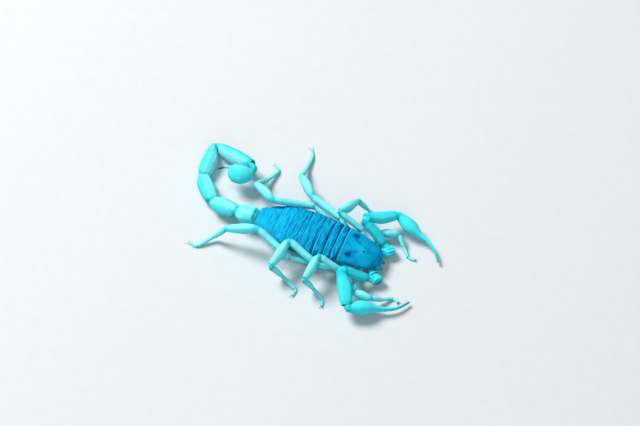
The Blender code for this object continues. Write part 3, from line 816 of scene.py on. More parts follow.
def plate_section(u, half_width, crest, edge, belly):
    """Sideways and upward place on a plate's arch, u from 0 right to 1 left."""
    angle = math.radians(180 + PLATE_REACH - u * (180 + 2 * PLATE_REACH))
    rise = squared(math.sin(angle), PLATE_SQUARENESS)
    depth = crest - edge if rise > 0 else edge - belly
    return squared(math.cos(angle), PLATE_SQUARENESS) * half_width, edge + rise * depth


def build_shield(sizes):
    """The head shield with its eye mound, furrows, rim and scattered grains."""
    table = TRUNK["carapace"]
    smooth_rows = np.array([row for row in table if abs(row[0] / MM - EYE_MOUND[1]) > MOUND_REACH])
    front, rear = table[0, 0], table[-1, 0] + sizes.rim_overhang

    def point(u, v):
        y = front + (rear - front) * v
        half_width, crest, edge, belly = trunk_at(smooth_rows, y)
        sideways, z = plate_section(u, half_width, crest, edge, belly)
        x = TRUNK_MIDDLE + sideways
        upper = ramp(z - edge, 0.0, 0.5 * MM)
        z += shield_relief(x, y, front) * upper
        z += sizes.rim_rise * ramp(v, 0.95, 0.985) - 0.10 * MM * hump(v, 0.925, 0.03) * upper
        y += shield_front(x) * (1 - v) ** 2 * (1 - ramp(v, 0.0, 0.5))
        return np.array((x, y, z))

    # painted shade in the pits and grooves and towards the front edge, the rear rim painted pale, partly
    # thicker chitin and partly a painted highlight; paler in the middle, darker at the sides
    def tone(u, v):
        behind = (rear - front) * v / MM
        away = abs(point(u, v)[0] - TRUNK_MIDDLE) / MM
        middle = hump(away, 0.2, 1.3) * hump(behind, 4.9, 1.6)
        painted_hollow_shade = shield_pits(0.5, 0.55, away, behind) + shield_groove(0.25, away, behind)
        rim = 0.5 * ramp(v, 0.955, 0.98)
        edges = 0.10 * ramp(abs(u - 0.5), 0.36, 0.5)
        return 0.24 + 0.14 * ramp(v, 0.0, 0.40) + 0.20 * middle - painted_hollow_shade + rim - edges

    def draw_place(draw):
        return draw.uniform(0.06, 0.94), draw.uniform(0.03, 0.96)

    plate = sheet("head_shield", SHIELD_COLUMNS, SHIELD_ROWS, point, tone, sizes.plate_thickness)
    spots = plate_grains(
        point, sizes.grains_on_shield, SHIELD_SEED, draw_place, sizes.granule, 0.5, 1.1)
    return join("head_shield", [plate, add_grains("shield_grains", plate, spots, tone=0.72)])


def streaks_at(u, behind, index):
    """Depth of the thin broken dark lines that run across a back plate, fainter on the last ones."""
    depth = 0.0
    for line in range(4):
        centre = 0.80 + 0.52 * line + 0.15 * math.sin(6 * u + 1.9 * line + 2.3 * index)
        centre += 0.05 * math.sin(21 * u + 4.1 * line)
        strength = ramp(math.sin((8 + 1.5 * line) * u + 2.7 * line + 1.3 * index), -0.5, 0.6)
        depth += (0.44 - 0.06 * line) * strength * hump(behind, centre, 0.12)
    return depth * (0.45 if index > 5 else 1.0)


def build_back_plate(index, sizes):
    """One back plate: tucked front edge, raised rear rim, weak keels and grains before the rim."""
    table = TRUNK[f"mesosoma_{index}"]
    first, last = table[0, 0], table[-1, 0]
    last_one = index == LAST_PLATE
    front, rear = first - sizes.rim_overhang, last + sizes.rim_overhang * (0.2 if last_one else 1.0)
    span = rear - front
    rim = RIM_LENGTH / span
    keel_height = (0.10 if last_one else 0.035) * MM

    def point(u, v):
        y = front + span * v
        half_width, crest, edge, belly = trunk_at(table, min(max(y, first), last))
        sideways, z = plate_section(u, half_width, crest, edge, belly)
        sideways *= 1 - 0.028 * (1 - ramp(v, 0.0, 0.7))
        upper = ramp(z - edge, 0.0, 0.4 * MM)
        z -= sizes.tuck * (1 - ramp(v, 0.0, 0.45 * MM / span)) * upper
        z += sizes.rim_rise * ramp(v, 1 - 1.6 * rim, 1 - rim) * upper
        away = abs(sideways / half_width)
        keels = hump(away, 0.42, 0.05) + hump(away, 0.72, 0.04) if last_one else hump(away, 0, 0.05)
        z += keel_height * keels * ramp(v, 0.25, 0.5) * upper
        sag = 0.05 * MM * hump(away, 0.55, 0.18) * hump(v, 0.55, 0.25)
        bow = 0.10 * MM * (1 - away ** 2) * (v - 0.5)
        return np.array((TRUNK_MIDDLE + sideways, y + bow, z - sag))

    deep, body, rim_paleness_and_highlight = (tones[index - 1] for tones in (FRONT_SHADOW_TONES, BODY_TONES, RIM_PALENESS_AND_HIGHLIGHT))

    # the front edge painted dark as the shadow of the plate before, the rear rim painted pale, partly
    # thicker chitin and partly a painted highlight; darker towards the sides
    def tone(u, v):
        behind = (v * span - sizes.rim_overhang) / MM
        ragged = 0.09 * math.sin(11 * u + 2.1 * index) + 0.04 * math.sin(37 * u + 3.7 * index)
        out_of_front_shadow = ramp(behind + ragged, 0.20, 0.85)
        here = deep + (body - deep) * out_of_front_shadow - streaks_at(u, behind, index)
        edges = 0.22 * ramp(abs(u - 0.5), 0.22, 0.5)
        return here + rim_paleness_and_highlight * ramp(v, 1 - 1.7 * rim, 1 - 1.2 * rim) - edges

    def draw_place(draw):
        u = draw.uniform(0.06, 0.94)
        return u, 1 - 1.4 * rim - (1 - 2.2 * rim - 0.3 * MM / span) * draw.random() ** 1.6

    name = f"back_plate_{index}"
    rows = max(int(span / PLATE_ROW), 10)
    plate = sheet(name, PLATE_COLUMNS, rows, point, tone, sizes.plate_thickness)
    spots = plate_grains(
        point, int(BACK_GRAINS * span / MM), BACK_SEED + index, draw_place, sizes.granule, 0.4, 0.85)
    return join(name, [plate, add_grains("back_grains", plate, spots, tone=body + 0.2)])


def build_belly_plate(index, sizes):
    """One belly plate under a body segment, its rear edge lapping over the next."""
    table = TRUNK[f"mesosoma_{index}"]
    first, last = table[0, 0], table[-1, 0]
    front, rear = first - 0.1 * MM, last + 0.12 * MM * (index < LAST_PLATE)
    span = rear - front

    def point(u, v):
        y = front + span * v
        half_width, _, edge, belly = trunk_at(table, min(max(y, first), last))
        angle = math.radians(-168 + 156 * (1 - u))
        sideways = squared(math.cos(angle), PLATE_SQUARENESS)
        z = edge + squared(math.sin(angle), PLATE_SQUARENESS) * (edge - belly)
        z += 0.10 * MM * (1 - ramp(v, 0.0, 0.2)) - 0.04 * MM * ramp(v, 0.86, 0.95)
        return np.array((TRUNK_MIDDLE + sideways * half_width, y, z))

    def tone(u, v):
        edges = 0.2 * ramp(abs(u - 0.5), 0.3, 0.5)
        return 0.30 + 0.25 * ramp(v, 0.1, 0.5) + 0.12 * ramp(v, 0.86, 0.95) - edges

    rows = max(int(span / BELLY_ROW), 8)
    pieces = [
        sheet(f"belly_plate_{index}", BELLY_COLUMNS, rows, point, tone, -sizes.plate_thickness)]
    if index in SPIRACLE_PLATES:
        for u in (0.22, 0.78):
            middle = point(u, 0.45)
            deselect()
            bpy.ops.mesh.primitive_torus_add(
                major_segments=20, minor_segments=8, major_radius=1.0, minor_radius=0.32)
            rim = name_piece("spiracle_rim")
            rim.scale = (0.34 * MM, 0.13 * MM, 0.12 * MM)
            rim.location = middle - UP * 0.01 * MM
            rim.rotation_euler = (0, 0, math.radians(22 if u > 0.5 else -22))
            bpy.ops.object.transform_apply(location=True, rotation=True, scale=True)
            store_tone(rim, 0.0)
            pieces.append(rim)
    return join(f"belly_plate_{index}", pieces)


def build_trunk_skin(sizes):
    """The soft skin between back and belly plates, folded along its sides."""
    rows = np.concatenate(list(TRUNK.values()))
    first, last = rows[0, 0] + 0.9 * MM, rows[-1, 0] - 0.05 * MM

    def fold(y, angle):
        """Height of the skin's folds, from -1 to 1."""
        return math.sin(2 * math.pi * y / sizes.skin_fold + 1.3 * math.sin(3 * angle))

    def at_flank(angle, spread):
        """1 on the flanks, where the skin shows, falling off above and below."""
        return hump(math.degrees(math.asin(math.sin(angle))), -4, spread)

    def point(place, angle):
        y = first + (last - first) * place
        half_width, crest, edge, belly = trunk_at(rows, y)
        sideways = squared(math.cos(angle), PLATE_SQUARENESS)
        rise = squared(math.sin(angle), PLATE_SQUARENESS)
        wave, flank = fold(y, angle), at_flank(angle, 16)
        width = half_width - (0.16 - 0.10 * flank - 0.05 * wave * flank) * MM
        cover = 0.34 + 0.46 * (y < TRUNK["carapace"][-1, 0] - 0.5 * MM)
        top, under = crest - edge - cover * MM, edge - belly - 0.24 * MM
        tapered = min(ramp(place, -0.02, 0.04), ramp(1 - place, -0.02, 0.02))
        depth = top if rise > 0 else under
        return np.array((
            TRUNK_MIDDLE - sideways * width * tapered, y, edge + rise * depth * tapered))

    # painted light on the ridges of the folds and painted shade in their furrows
    def tone(place, angle):
        y = first + (last - first) * place
        return 0.45 + 0.25 * fold(y, angle) * at_flank(angle, 22)
    return tube("trunk_skin", 48, list(np.linspace(0, 1, 150)), point, tone)


class SCORPION_OT_head_shield(bpy.types.Operator):
    """Model the shield over the head with its grains"""
    bl_idname = "scorpion.head_shield"
    bl_label = "Head Shield"

    def execute(self, context):
        obj = build_shield(context.scene.scorpion_sizes)
        finish_piece(obj, finishes(context).shield, "carapace", "carapace")
        return {"FINISHED"}


# the three small eyes of a front corner: millimetres back from the shield's front edge, inwards from
# its side, and their share of the largest one's radius
SIDE_EYES = ((0.62, 0.0, 1.0), (0.98, -0.02, 0.95), (1.32, -0.01, 0.7))
SIDE_EYE_RADIUS = 0.13 * MM


class SCORPION_OT_eyes(bpy.types.Operator):
    """Model the two median eyes on their mound and three small eyes at each front corner"""
    bl_idname = "scorpion.eyes"
    bl_label = "Eyes"

    def execute(self, context):
        made = finishes(context)
        table = TRUNK["carapace"]
        for side, sign in SIDES.items():
            low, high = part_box("median_eye_" + side)
            middle, radius = (low + high) / 2, (high.x - low.x) / 2
            lens = ball("median_eye_lens_" + side, 24, 16, radius, middle)
            finish_piece(lens, made.eye, "eye", "median_eye_" + side)
            deselect()
            bpy.ops.mesh.primitive_torus_add(
                major_segments=28, minor_segments=8, major_radius=radius * 1.02, minor_radius=0.055 * MM,
                location=middle - Vector((0, 0, 0.04 * MM)), rotation=(0, math.radians(38 * sign), 0))
            brow = name_piece("median_eye_brow_" + side)
            bpy.ops.object.transform_apply(location=True, rotation=True)
            store_tone(brow, 0.55)
            finish_piece(brow, made.plate, "carapace")
            lenses = []
            for back, inward, share in SIDE_EYES:
                y = table[0, 0] + back * MM
                half_width, crest, edge, _ = trunk_at(table, y)
                x = TRUNK_MIDDLE + sign * (half_width * 0.90 - inward * MM)
                z = edge + (crest - edge) * 0.36
                lenses.append(ball("side_eye", 16, 10, SIDE_EYE_RADIUS * share, (x, y, z)))
            finish_piece(join("side_eyes_" + side, lenses), made.eye, "eye")
        return {"FINISHED"}


class SCORPION_OT_back_plates(bpy.types.Operator):
    """Model the seven overlapping plates of the back"""
    bl_idname = "scorpion.back_plates"
    bl_label = "Back Plates"

    def execute(self, context):
        for index in BACK_PLATES:
            obj = build_back_plate(index, context.scene.scorpion_sizes)
            finish_piece(obj, finishes(context).plate, "tergite", f"mesosoma_{index}")
        return {"FINISHED"}


class SCORPION_OT_belly_plates(bpy.types.Operator):
    """Model the plates of the underside with their breathing slits"""
    bl_idname = "scorpion.belly_plates"
    bl_label = "Belly Plates"

    def execute(self, context):
        for index in BELLY_PLATES:
            obj = build_belly_plate(index, context.scene.scorpion_sizes)
            finish_piece(obj, finishes(context).belly, "underside")
        return {"FINISHED"}


class SCORPION_OT_trunk_skin(bpy.types.Operator):
    """Model the soft skin that shows between the plates"""
    bl_idname = "scorpion.trunk_skin"
    bl_label = "Trunk Skin"

    def execute(self, context):
        finish_piece(build_trunk_skin(context.scene.scorpion_sizes), finishes(context).skin, "tergite")
        return {"FINISHED"}


# ---------------------------------------------------------------- jaws, breast plate and combs
# fingers of a jaw: millimetres outwards from its middle, lean, droop, length and thickness in millimetres
JAW_FINGERS = {"movable": (0.34, 0.22, -0.60, 0.95, 0.25), "fixed": (-0.26, 0.05, 0.20, 0.82, 0.24)}
JAW_TEETH = 3


def jaw_tone(place, angle):
    """The jaw's base darkens towards its fingers, with painted light on top and painted shade below."""
    return 0.50 - 0.15 * ramp(place, 0.4, 0.8) + 0.1 * math.sin(angle)


class SCORPION_OT_jaws(bpy.types.Operator):
    """Model the two short jaws, each with a fixed and a movable toothed finger"""
    bl_idname = "scorpion.jaws"
    bl_label = "Jaws"

    def execute(self, context):
        for side, sign in SIDES.items():
            node = "chelicera_" + side
            low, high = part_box(node)
            spine = Spine(cad_rings(node, LEG_CORNERS, ((low.x + high.x) / 2, high.y, low.z)))
            pieces = [limb(
                node + "_base", spine, count=7, corners=24, span=(0.0, 0.82), squareness=0.85, grow=1.1,
                keels=((90, 0.05, 25),), tail=BLUNT, tone=jaw_tone)]
            centre, along, across, up, *_ = spine.at(0.66)
            outward = across * (1 if across[0] * sign > 0 else -1)
            for name, (shift, lean, droop, reach, thick) in JAW_FINGERS.items():
                way = math.copysign(1, shift)
                start = centre + outward * shift * MM - up * 0.05 * MM * way
                direction = along + outward * lean - up * 0.35
                bend = outward * droop - up * 0.15
                pieces.append(horn(
                    f"{node}_{name}", start, direction, bend, reach * MM, thick * MM, corners=12,
                    tones=(0.55, -0.1)))
                for step in range(JAW_TEETH):
                    share = 0.42 + 0.17 * step
                    tooth = start + unit(direction) * reach * MM * share
                    tooth = tooth + bend * reach * MM * share ** 2
                    pieces.append(horn(
                        f"{node}_tooth", tooth, -outward * way + along * 0.3, along * 0.2,
                        (0.30 - 0.05 * step) * MM, 0.07 * MM, corners=6, tones=(0.15, -0.1)))
            finish_piece(join("jaw_" + side, pieces), finishes(context).pincer, "pedipalp", node)
        return {"FINISHED"}


# the two plates over the sternum's solid: rings, span and squareness; and the furrow along both
BREAST_PLATES = {"breast_plate": (7, (0.0, 0.56), 0.75), "genital_cover": (6, (0.58, 1.0), 0.8)}
BREAST_FURROW = ((-90, -0.16, 16),)


class SCORPION_OT_breast_plate(bpy.types.Operator):
    """Model the five-sided breast plate and the cover of the genital opening behind it"""
    bl_idname = "scorpion.breast_plate"
    bl_label = "Breast Plate"

    def execute(self, context):
        low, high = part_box("sternum")
        front = ((low.x + high.x) / 2, low.y, (low.z + high.z) / 2)
        spine = Spine(cad_rings("sternum", TAIL_CORNERS, front))
        plates = [
            limb(name, spine, count=count, corners=24, span=span, keels=BREAST_FURROW,
                 squareness=squareness, tail=BLUNT)
            for name, (count, span, squareness) in BREAST_PLATES.items()]
        finish_piece(join("breast_plate", plates), finishes(context).belly, "underside", "sternum")
        return {"FINISHED"}


def pecten_frame(side):
    """Root, direction along the spine, direction of the teeth and length of one comb."""
    points = np.array([vertex.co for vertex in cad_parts["pecten_" + side].data.vertices])
    middle = points.mean(axis=0)
    flat = points[:, :2] - middle[:2]
    _, _, axes = np.linalg.svd(flat, full_matrices=False)
    along = np.array((*axes[0], 0.0))
    along = along if along[1] > 0 else -along
    reach = (points - middle) @ along
    across = np.cross(UP, along) * SIDES[side]
    sideways = (points - middle) @ across
    root = middle + along * reach.min() + across * sideways.min()
    return root, along, across, reach.max() - reach.min()


# rows of small plates of a comb: millimetres behind its front edge, half width in millimetres and how many
COMB_ROWS = ((0.16, 0.15, 3), (0.38, 0.11, 9), (0.55, 0.07, 22))
COMB_TEETH = 24


def comb_lump(rings, place, half, axes):
    """A plate or tooth of a comb, with its half sizes along the comb, across it and upwards."""
    lump = ball("comb_lump", 10, rings)
    turned = Matrix(np.column_stack(axes).tolist()).to_4x4()
    lump.matrix_world = Matrix.Translation(place) @ turned @ Matrix.Diagonal((*half, 1))
    return lump


class SCORPION_OT_combs(bpy.types.Operator):
    """Model the two combs: three rows of small plates along a spine, and the teeth behind them"""
    bl_idname = "scorpion.combs"
    bl_label = "Combs"

    def execute(self, context):
        for side in SIDES:
            root, along, across, reach = pecten_frame(side)
            low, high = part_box("pecten_" + side)
            root = root * (1, 1, 0) + (low.z + high.z) / 2 * UP
            axes = (along, across, UP)
            pieces = []
            for shift, width, count in COMB_ROWS:
                for number in range(count):
                    share = (number + 0.5) / count
                    taper = 1 - 0.45 * share ** 2
                    place = root + along * reach * (0.02 + 0.94 * share) + across * shift * MM * taper * 1.1
                    half = (reach / count * 0.54, width * MM * taper, 0.17 * MM)
                    pieces.append(comb_lump(6, place, half, axes))
            for number in range(COMB_TEETH):
                share = (number + 0.5) / COMB_TEETH
                taper = 1 - 0.40 * share ** 2
                place = root + along * reach * (0.02 + 0.94 * share) + across * (0.60 + 0.26 * taper) * MM
                half = (reach / COMB_TEETH * 0.46, 0.32 * MM * taper, 0.11 * MM)
                pieces.append(comb_lump(8, place, half, axes))
            deselect()
            for piece in pieces:
                piece.select_set(True)
            bpy.context.view_layer.objects.active = pieces[0]
            bpy.ops.object.transform_apply(location=True, rotation=True, scale=True)
            obj = join("comb_" + side, pieces)
            store_tone(obj, 0.55)
            activate(obj)
            bpy.ops.object.mode_set(mode="EDIT")
            bpy.ops.mesh.select_all(action="SELECT")
            bpy.ops.mesh.normals_make_consistent(inside=False)
            bpy.ops.object.mode_set(mode="OBJECT")
            finish_piece(obj, finishes(context).belly, "comb", "pecten_" + side)
        return {"FINISHED"}


# ---------------------------------------------------------------- limbs
# about how high the legs leave the trunk, and which of the palm's rings the movable finger turns on
HIP_HEIGHT = 1.2 * MM
FINGER_RING = 6


def ring_middle(rings, index=-1):
    """The middle of a solid's last ring, or of another one."""
    return rings[index].mean(axis=0)


def leg_rings(side, pair):
    """The rings of a leg's three solids, each from its end nearest the trunk."""
    name = f"{side}_leg_{pair}_"
    low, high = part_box(name + "femur")
    if pair == 1:
        root = (low.x if side == "left" else high.x, (low.y + high.y) / 2, HIP_HEIGHT)
    else:
        root = (TRUNK_MIDDLE * 0.5, low.y, HIP_HEIGHT)
    femur = cad_rings(name + "femur", LEG_CORNERS, root)
    patella = cad_rings(name + "patella", LEG_CORNERS, ring_middle(femur))
    foot = cad_rings(name + "foot", LEG_CORNERS, ring_middle(patella))
    return femur, patella, foot


def pincer_rings(side):
    """The rings of a pincer arm's solids, each from its end nearest the trunk."""
    name = f"{side}_pedipalp_"
    low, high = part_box(name + "trochanter")
    inner = low.x if side == "left" else high.x
    trochanter = cad_rings(name + "trochanter", PINCER_CORNERS, (inner, high.y, low.z))
    femur = cad_rings(name + "femur", PINCER_CORNERS, (ring_middle(trochanter) * (1, 0, 1)) + (0, low.y, 0))
    patella = cad_rings(name + "patella", PINCER_CORNERS, ring_middle(femur))
    palm = cad_rings(name + "palm", PINCER_CORNERS, ring_middle(patella))
    finger = cad_rings(name + "movable_finger", LEG_CORNERS, ring_middle(palm, FINGER_RING))
    return trochanter, femur, patella, palm, finger


# rings of a joint's skin from one segment to the next
SKIN_RINGS = 13


def joint_skin(name, before, after, share, corners=14, overlap=0.03):
    """Creased soft skin between the last section of one segment and the first of the next."""
    start, end = before.at(1 - overlap), after.at(overlap)
    reach = np.linalg.norm(end[0] - start[0]) * 0.35
    turn_a, turn_b = start[0] + start[1] * reach, end[0] - end[1] * reach
    forward = unit(end[0] - start[0] + (start[1] + end[1]) * 0.1 * MM)
    across = unit(start[2] + end[2] * math.copysign(1, start[2] @ end[2]))
    across = unit(across - forward * (across @ forward))
    up = np.cross(forward, across)
    bend = end[1] - start[1]
    widths = [section[4] for section in (start, end)]
    heights = [(section[5] + section[6]) / 2 for section in (start, end)]

    def point(place, angle):
        rest = 1 - place
        centre = (start[0] * rest ** 3 + turn_a * 3 * rest ** 2 * place
                  + turn_b * 3 * rest * place ** 2 + end[0] * place ** 3)
        crease = 1 + 0.02 * math.sin(place * math.pi * 8) * (1 - abs(math.cos(angle)) ** 4)
        crease += 0.15 * abs(math.cos(angle)) ** 6 * math.sin(math.pi * place)
        ends = 0.45 + 0.55 * math.sqrt(math.sin(math.pi * min(max(place, 0.03), 0.97)))
        width, height = [size[0] * rest + size[1] * place for size in (widths, heights)]
        width, height = min(width, height * 1.25), min(height, width * 1.25)
        round_it = across * math.cos(angle) * width + up * math.sin(angle) * height
        return centre + round_it * share * crease * ends

    # painted shade on the inside of the bend, and pale and dark rings as painted light and shade on the
    # creases
    def tone(place, angle):
        inside = max((across * math.cos(angle) + up * math.sin(angle)) @ bend, 0.0)
        return 0.74 - 0.30 * inside + 0.06 * math.sin(place * math.pi * 8)
    return tube(name, corners, list(np.linspace(0, 1, SKIN_RINGS)), point, tone)


# how much the middle of the knee piece is swollen and how much thicker the upper leg is, for each pair
PATELLA_SWELL = {1: 0.12, 2: 0.22, 3: 0.22, 4: 0.10}
FEMUR_GROWTH = {1: 1.08, 2: 1.08, 3: 1.17, 4: 1.15}

# keels of a limb, each with its angle round the piece, its height as a share of the radius and its spread
LEG_KEELS = ((48, 0.06, 15), (132, 0.06, 15), (-90, 0.05, 18))

# legs whose claws reach further, and by how much
LONG_CLAWS = (("right", 4), ("left", 3))
LONG_CLAW = 1.35

# a leg's joints: the segments on both sides and the skin's share of their girth; the front feet show no
# skin at the toe
LEG_JOINTS = (
    ("hip", "trochanter", "femur", 0.95), ("knee", "femur", "patella", 1.25),
    ("shin", "patella", "tibia", 1.20), ("ankle", "tibia", "basitarsus", 1.1),
    ("toe", "basitarsus", "tarsus", 0.95))


def leg_spines(side, pair):
    """Middle lines of a leg's hard segments, without the narrow rings of its joints."""
    femur, patella, foot = leg_rings(side, pair)
    return {
        "coxa": Spine(femur[:3]), "trochanter": Spine(femur[2:5]), "femur": Spine(femur[4:-1]),
        "patella": Spine(patella[1:-1]), "tibia": Spine(foot[1:5]), "basitarsus": Spine(foot[4:7]),
        "tarsus": Spine(foot[6:9]), "claws": Spine(foot[8:])}


def coxa_tone(*_):
    """The hips are a shade deeper than the legs, all over."""
    return 0.42


def build_leg(side, pair, sizes):
    """The pieces of one leg: upper leg, knee piece, foot and claws, and the skin of its joints."""
    name = f"{side}_leg_{pair}_"
    spines = leg_spines(side, pair)

    def segment(part, count, span, tone=limb_tone, **shape):
        """One hard segment, on the spine of its name."""
        return limb(name + part, spines[part], count=count, span=span, tone=tone, **shape)

    def swollen(place):
        """Extra girth in the middle of the knee piece."""
        return 0.97 * stout(place) + PATELLA_SWELL[pair] * hump(place, 0.46, 0.30)

    upper = [
        segment("coxa", 6, (0.0, 1.04), coxa_tone, squareness=0.8),
        segment("trochanter", 6, (0.02, 0.99), keels=LEG_KEELS, grow=1.02),
        segment("femur", 9, (-0.02, 1.05), keels=LEG_KEELS, grow=FEMUR_GROWTH[pair], girth=stout)]
    knee = [segment("patella", 8, (-0.08, 1.05), keels=LEG_KEELS, grow=1.20, girth=swollen)]
    lower = [
        segment("tibia", 6, (-0.08, 1.01), keels=LEG_KEELS, grow=1.13, girth=stout),
        segment("basitarsus", 6, (-0.01, 0.98), grow=1.10),
        segment("tarsus", 5, (0.02, 0.99), tail=BLUNT)]
    ankle, along, across, up, thick, *_ = spines["basitarsus"].at(0.95)
    for sign in (-1, 1):
        lower.append(horn(
            name + "spur", ankle + across * sign * thick * 0.6 - up * thick * 0.6,
            along * 0.8 + across * sign * 0.6 - up * 0.5, along * 0.2, 0.36 * MM, 0.06 * MM, corners=6,
            tones=(0.45, 0.1)))
    toe, along, across, up, thick, *_ = spines["tarsus"].at(0.95)
    tip = spines["claws"].at(1.0)[0]
    reach = max(np.linalg.norm((tip - toe)[:2]), 0.55 * sizes.claw_length)
    reach *= LONG_CLAW if (side, pair) in LONG_CLAWS else 1.0
    claws = [
        horn(
            name + "claw", toe + across * sign * thick * 0.35 + UP * 0.04 * MM,
            along * (1, 1, 0) + across * sign * 0.38 + UP * 0.22, -UP * 0.36 + across * sign * 0.06,
            reach, 0.095 * MM, tones=(0.8, 0.2))
        for sign in (-1, 1)]
    skins = [
        joint_skin(f"{name}{joint}_skin", spines[before], spines[after], share)
        for joint, before, after, share in LEG_JOINTS if (pair, joint) != (1, "toe")]
    return upper, knee, lower, claws, skins


class SCORPION_OT_legs(bpy.types.Operator):
    """Model the eight legs with their claws and joint skin"""
    bl_idname = "scorpion.legs"
    bl_label = "Legs"

    def execute(self, context):
        made = finishes(context)
        for side in SIDES:
            for pair in PAIRS:
                name = f"{side}_leg_{pair}_"
                upper, knee, lower, claws, skins = build_leg(side, pair, context.scene.scorpion_sizes)
                finish_piece(join(name + "upper_leg", upper), made.limb, "leg", name + "femur")
                finish_piece(join(name + "knee_piece", knee), made.limb, "leg", name + "patella")
                finish_piece(join(name + "lower_leg", lower), made.limb, "leg", name + "foot")
                finish_piece(join(name + "claws", claws), made.sting, "sting")
                finish_piece(join(name + "joint_skin", skins), made.skin, "leg")
        return {"FINISHED"}


# keels of the upper arm and forearm, of the fan at the arm's root, and of the hand
ARM_KEELS = (
    (52, 0.075, 11), (128, 0.075, 11), (2, 0.05, 11), (178, 0.05, 11), (-60, 0.05, 12),
    (-120, 0.05, 12))
FAN_KEELS = (
    (90, 0.22, 8), (56, 0.20, 8), (124, 0.20, 8), (22, 0.22, 8), (158, 0.22, 8), (-12, 0.20, 8),
    (192, 0.20, 8), (-60, 0.06, 14), (-120, 0.06, 14))
HAND_KEELS = (
    (62, 0.045, 10), (118, 0.045, 10), (12, 0.035, 10), (168, 0.035, 10), (90, 0.025, 10),
    (-90, 0.03, 12))
ARM_SQUARENESS = 0.9

# girth of each arm's upper arm, forearm and fan beside its solid, and where its fan ends
ARM_GROWTH = {"left": (1.0, 0.98, 1.0, 1.04), "right": (0.87, 1.13, 0.86, 0.95)}

# rows of grains along an arm's keels: which keels, their spacing beside the usual one, and the span
ARM_GRAINS = {
    "trochanter": (FAN_KEELS, 0.75, (0.45, 1.0)), "femur": (ARM_KEELS, 1.0, (0.04, 0.95)),
    "patella": (ARM_KEELS, 1.0, (0.04, 0.95)), "palm": (HAND_KEELS[:4], 1.2, (0.03, 0.42))}

# rows of teeth on the fingers: the side of the finger and the span; their spacing and radius
FINGER_TEETH = {"palm": (-90, (0.56, 0.985)), "movable_finger": (90, (0.06, 0.97))}
TOOTH_SPACING, TOOTH_RADIUS = 0.16 * MM, 0.042 * MM
ARM_GRAIN_SEED, TOOTH_SEED = 3, 5


def arm_tone(place, angle):
    """Turquoise with darker joints, painted light on the upper side and painted shade below."""
    return tone_of(place, angle, 0.38, 0.22, -0.04, 0.12, 0.10, 0.26)


def femur_tone(place, angle):
    """The upper arm, its coxa and its fan are a shade deeper; on the fan, under the front of the head
    shield, this is painted shade.
    """
    return arm_tone(place, angle) - 0.14


def finger_tone(place, angle):
    """The hand pales towards its middle and the finger darkens to its tip."""
    return arm_tone(min(place, 0.85), angle) + 0.08 - 0.50 * ramp(place, 0.66, 1.0)


def movable_tone(place, angle):
    """The movable finger has the shades of the hand's further half."""
    return finger_tone(0.5 + place / 2, angle)


def finger_girth(place):
    """The fixed finger is slimmer than the hand's solid there."""
    return 1.0 - 0.30 * ramp(place, 0.44, 0.60)


def movable_girth(place):
    """The movable finger is thick at its root, where it turns in the hand."""
    return 0.80 + 0.40 * ramp(0.22 - place, 0.0, 0.30)


def fan_girth(place):
    """Narrow behind and wide in front."""
    return 0.74 + 0.26 * ramp(place, 0.36, 0.72)


def arm_spines(side):
    """Middle lines of a pincer arm's hard segments, without the narrow rings of its joints."""
    trochanter, femur, patella, palm, finger = pincer_rings(side)
    return {
        "trochanter": Spine(trochanter), "femur": Spine(femur[1:-1]), "patella": Spine(patella[1:-1]),
        "palm": Spine(palm[1:]), "movable_finger": Spine(finger)}


def build_pincer(side, sizes):
    """The pieces of one pincer arm from its coxa to the finger tips."""
    name = f"{side}_pedipalp_"
    spines = arm_spines(side)
    femur, patella, fan, fan_end = ARM_GROWTH[side]

    def segment(part, spine, count, corners, span, tone, **shape):
        """One hard segment along one of the arm's spines."""
        return limb(
            name + part, spines[spine], count=count, corners=corners, span=span, tone=tone, **shape)

    pieces = {
        "trochanter": [
            segment("coxa", "trochanter", 5, 24, (0.0, 0.42), femur_tone, keels=ARM_KEELS[:4]),
            segment("trochanter", "trochanter", 9, 48, (0.36, fan_end), femur_tone, grow=fan,
                    keels=FAN_KEELS, tail=FAN, fade=0.015, girth=fan_girth)],
        "femur": [
            segment("femur", "femur", 10, 36, (-0.06, 1.16), femur_tone, keels=ARM_KEELS,
                    squareness=ARM_SQUARENESS, girth=stocky, grow=femur, tail=BLUNT)],
        "patella": [
            segment("patella", "patella", 10, 36, (-0.19, 1.05), arm_tone, keels=ARM_KEELS,
                    squareness=ARM_SQUARENESS, girth=stocky, grow=patella)],
        "palm": [
            segment("palm", "palm", 24, 32, (-0.065, 1.0), finger_tone, keels=HAND_KEELS,
                    head=WRIST, tail=POINTED, girth=finger_girth, grow=1.12)],
        "movable_finger": [
            segment("finger", "movable_finger", 14, 16, (-0.16, 1.0), movable_tone,
                    tail=POINTED, girth=movable_girth, grow=1.0)]}
    for part, (keels, spacing, span) in ARM_GRAINS.items():
        spots = keel_grains(
            spines[part], [keel[0] for keel in keels], keeled(keels), sizes.keel_spacing * spacing,
            sizes.keel_granule * 0.75, span=span, seed=ARM_GRAIN_SEED,
            squareness=ARM_SQUARENESS if part in ("trochanter", "femur") else 1.0)
        grains = add_grains(name + "grains", pieces[part][-1], spots, tone=0.72, tall=0.6)
        pieces[part].append(grains)
    for part, (angle, span) in FINGER_TEETH.items():
        spots = keel_grains(
            spines[part], (angle,), even_girth, TOOTH_SPACING, TOOTH_RADIUS, span=span,
            seed=TOOTH_SEED)
        pieces[part].append(add_grains(name + "teeth", pieces[part][0], spots, tone=0.1))
    skins = [
        joint_skin(name + "shoulder_skin", Spine(pincer_rings(side)[0][:4]), spines["femur"], share=0.80),
        joint_skin(name + "elbow_skin", spines["femur"], spines["patella"], share=1.22),
        joint_skin(name + "wrist_skin", spines["patella"], spines["palm"], share=1.0)]
    return pieces, skins


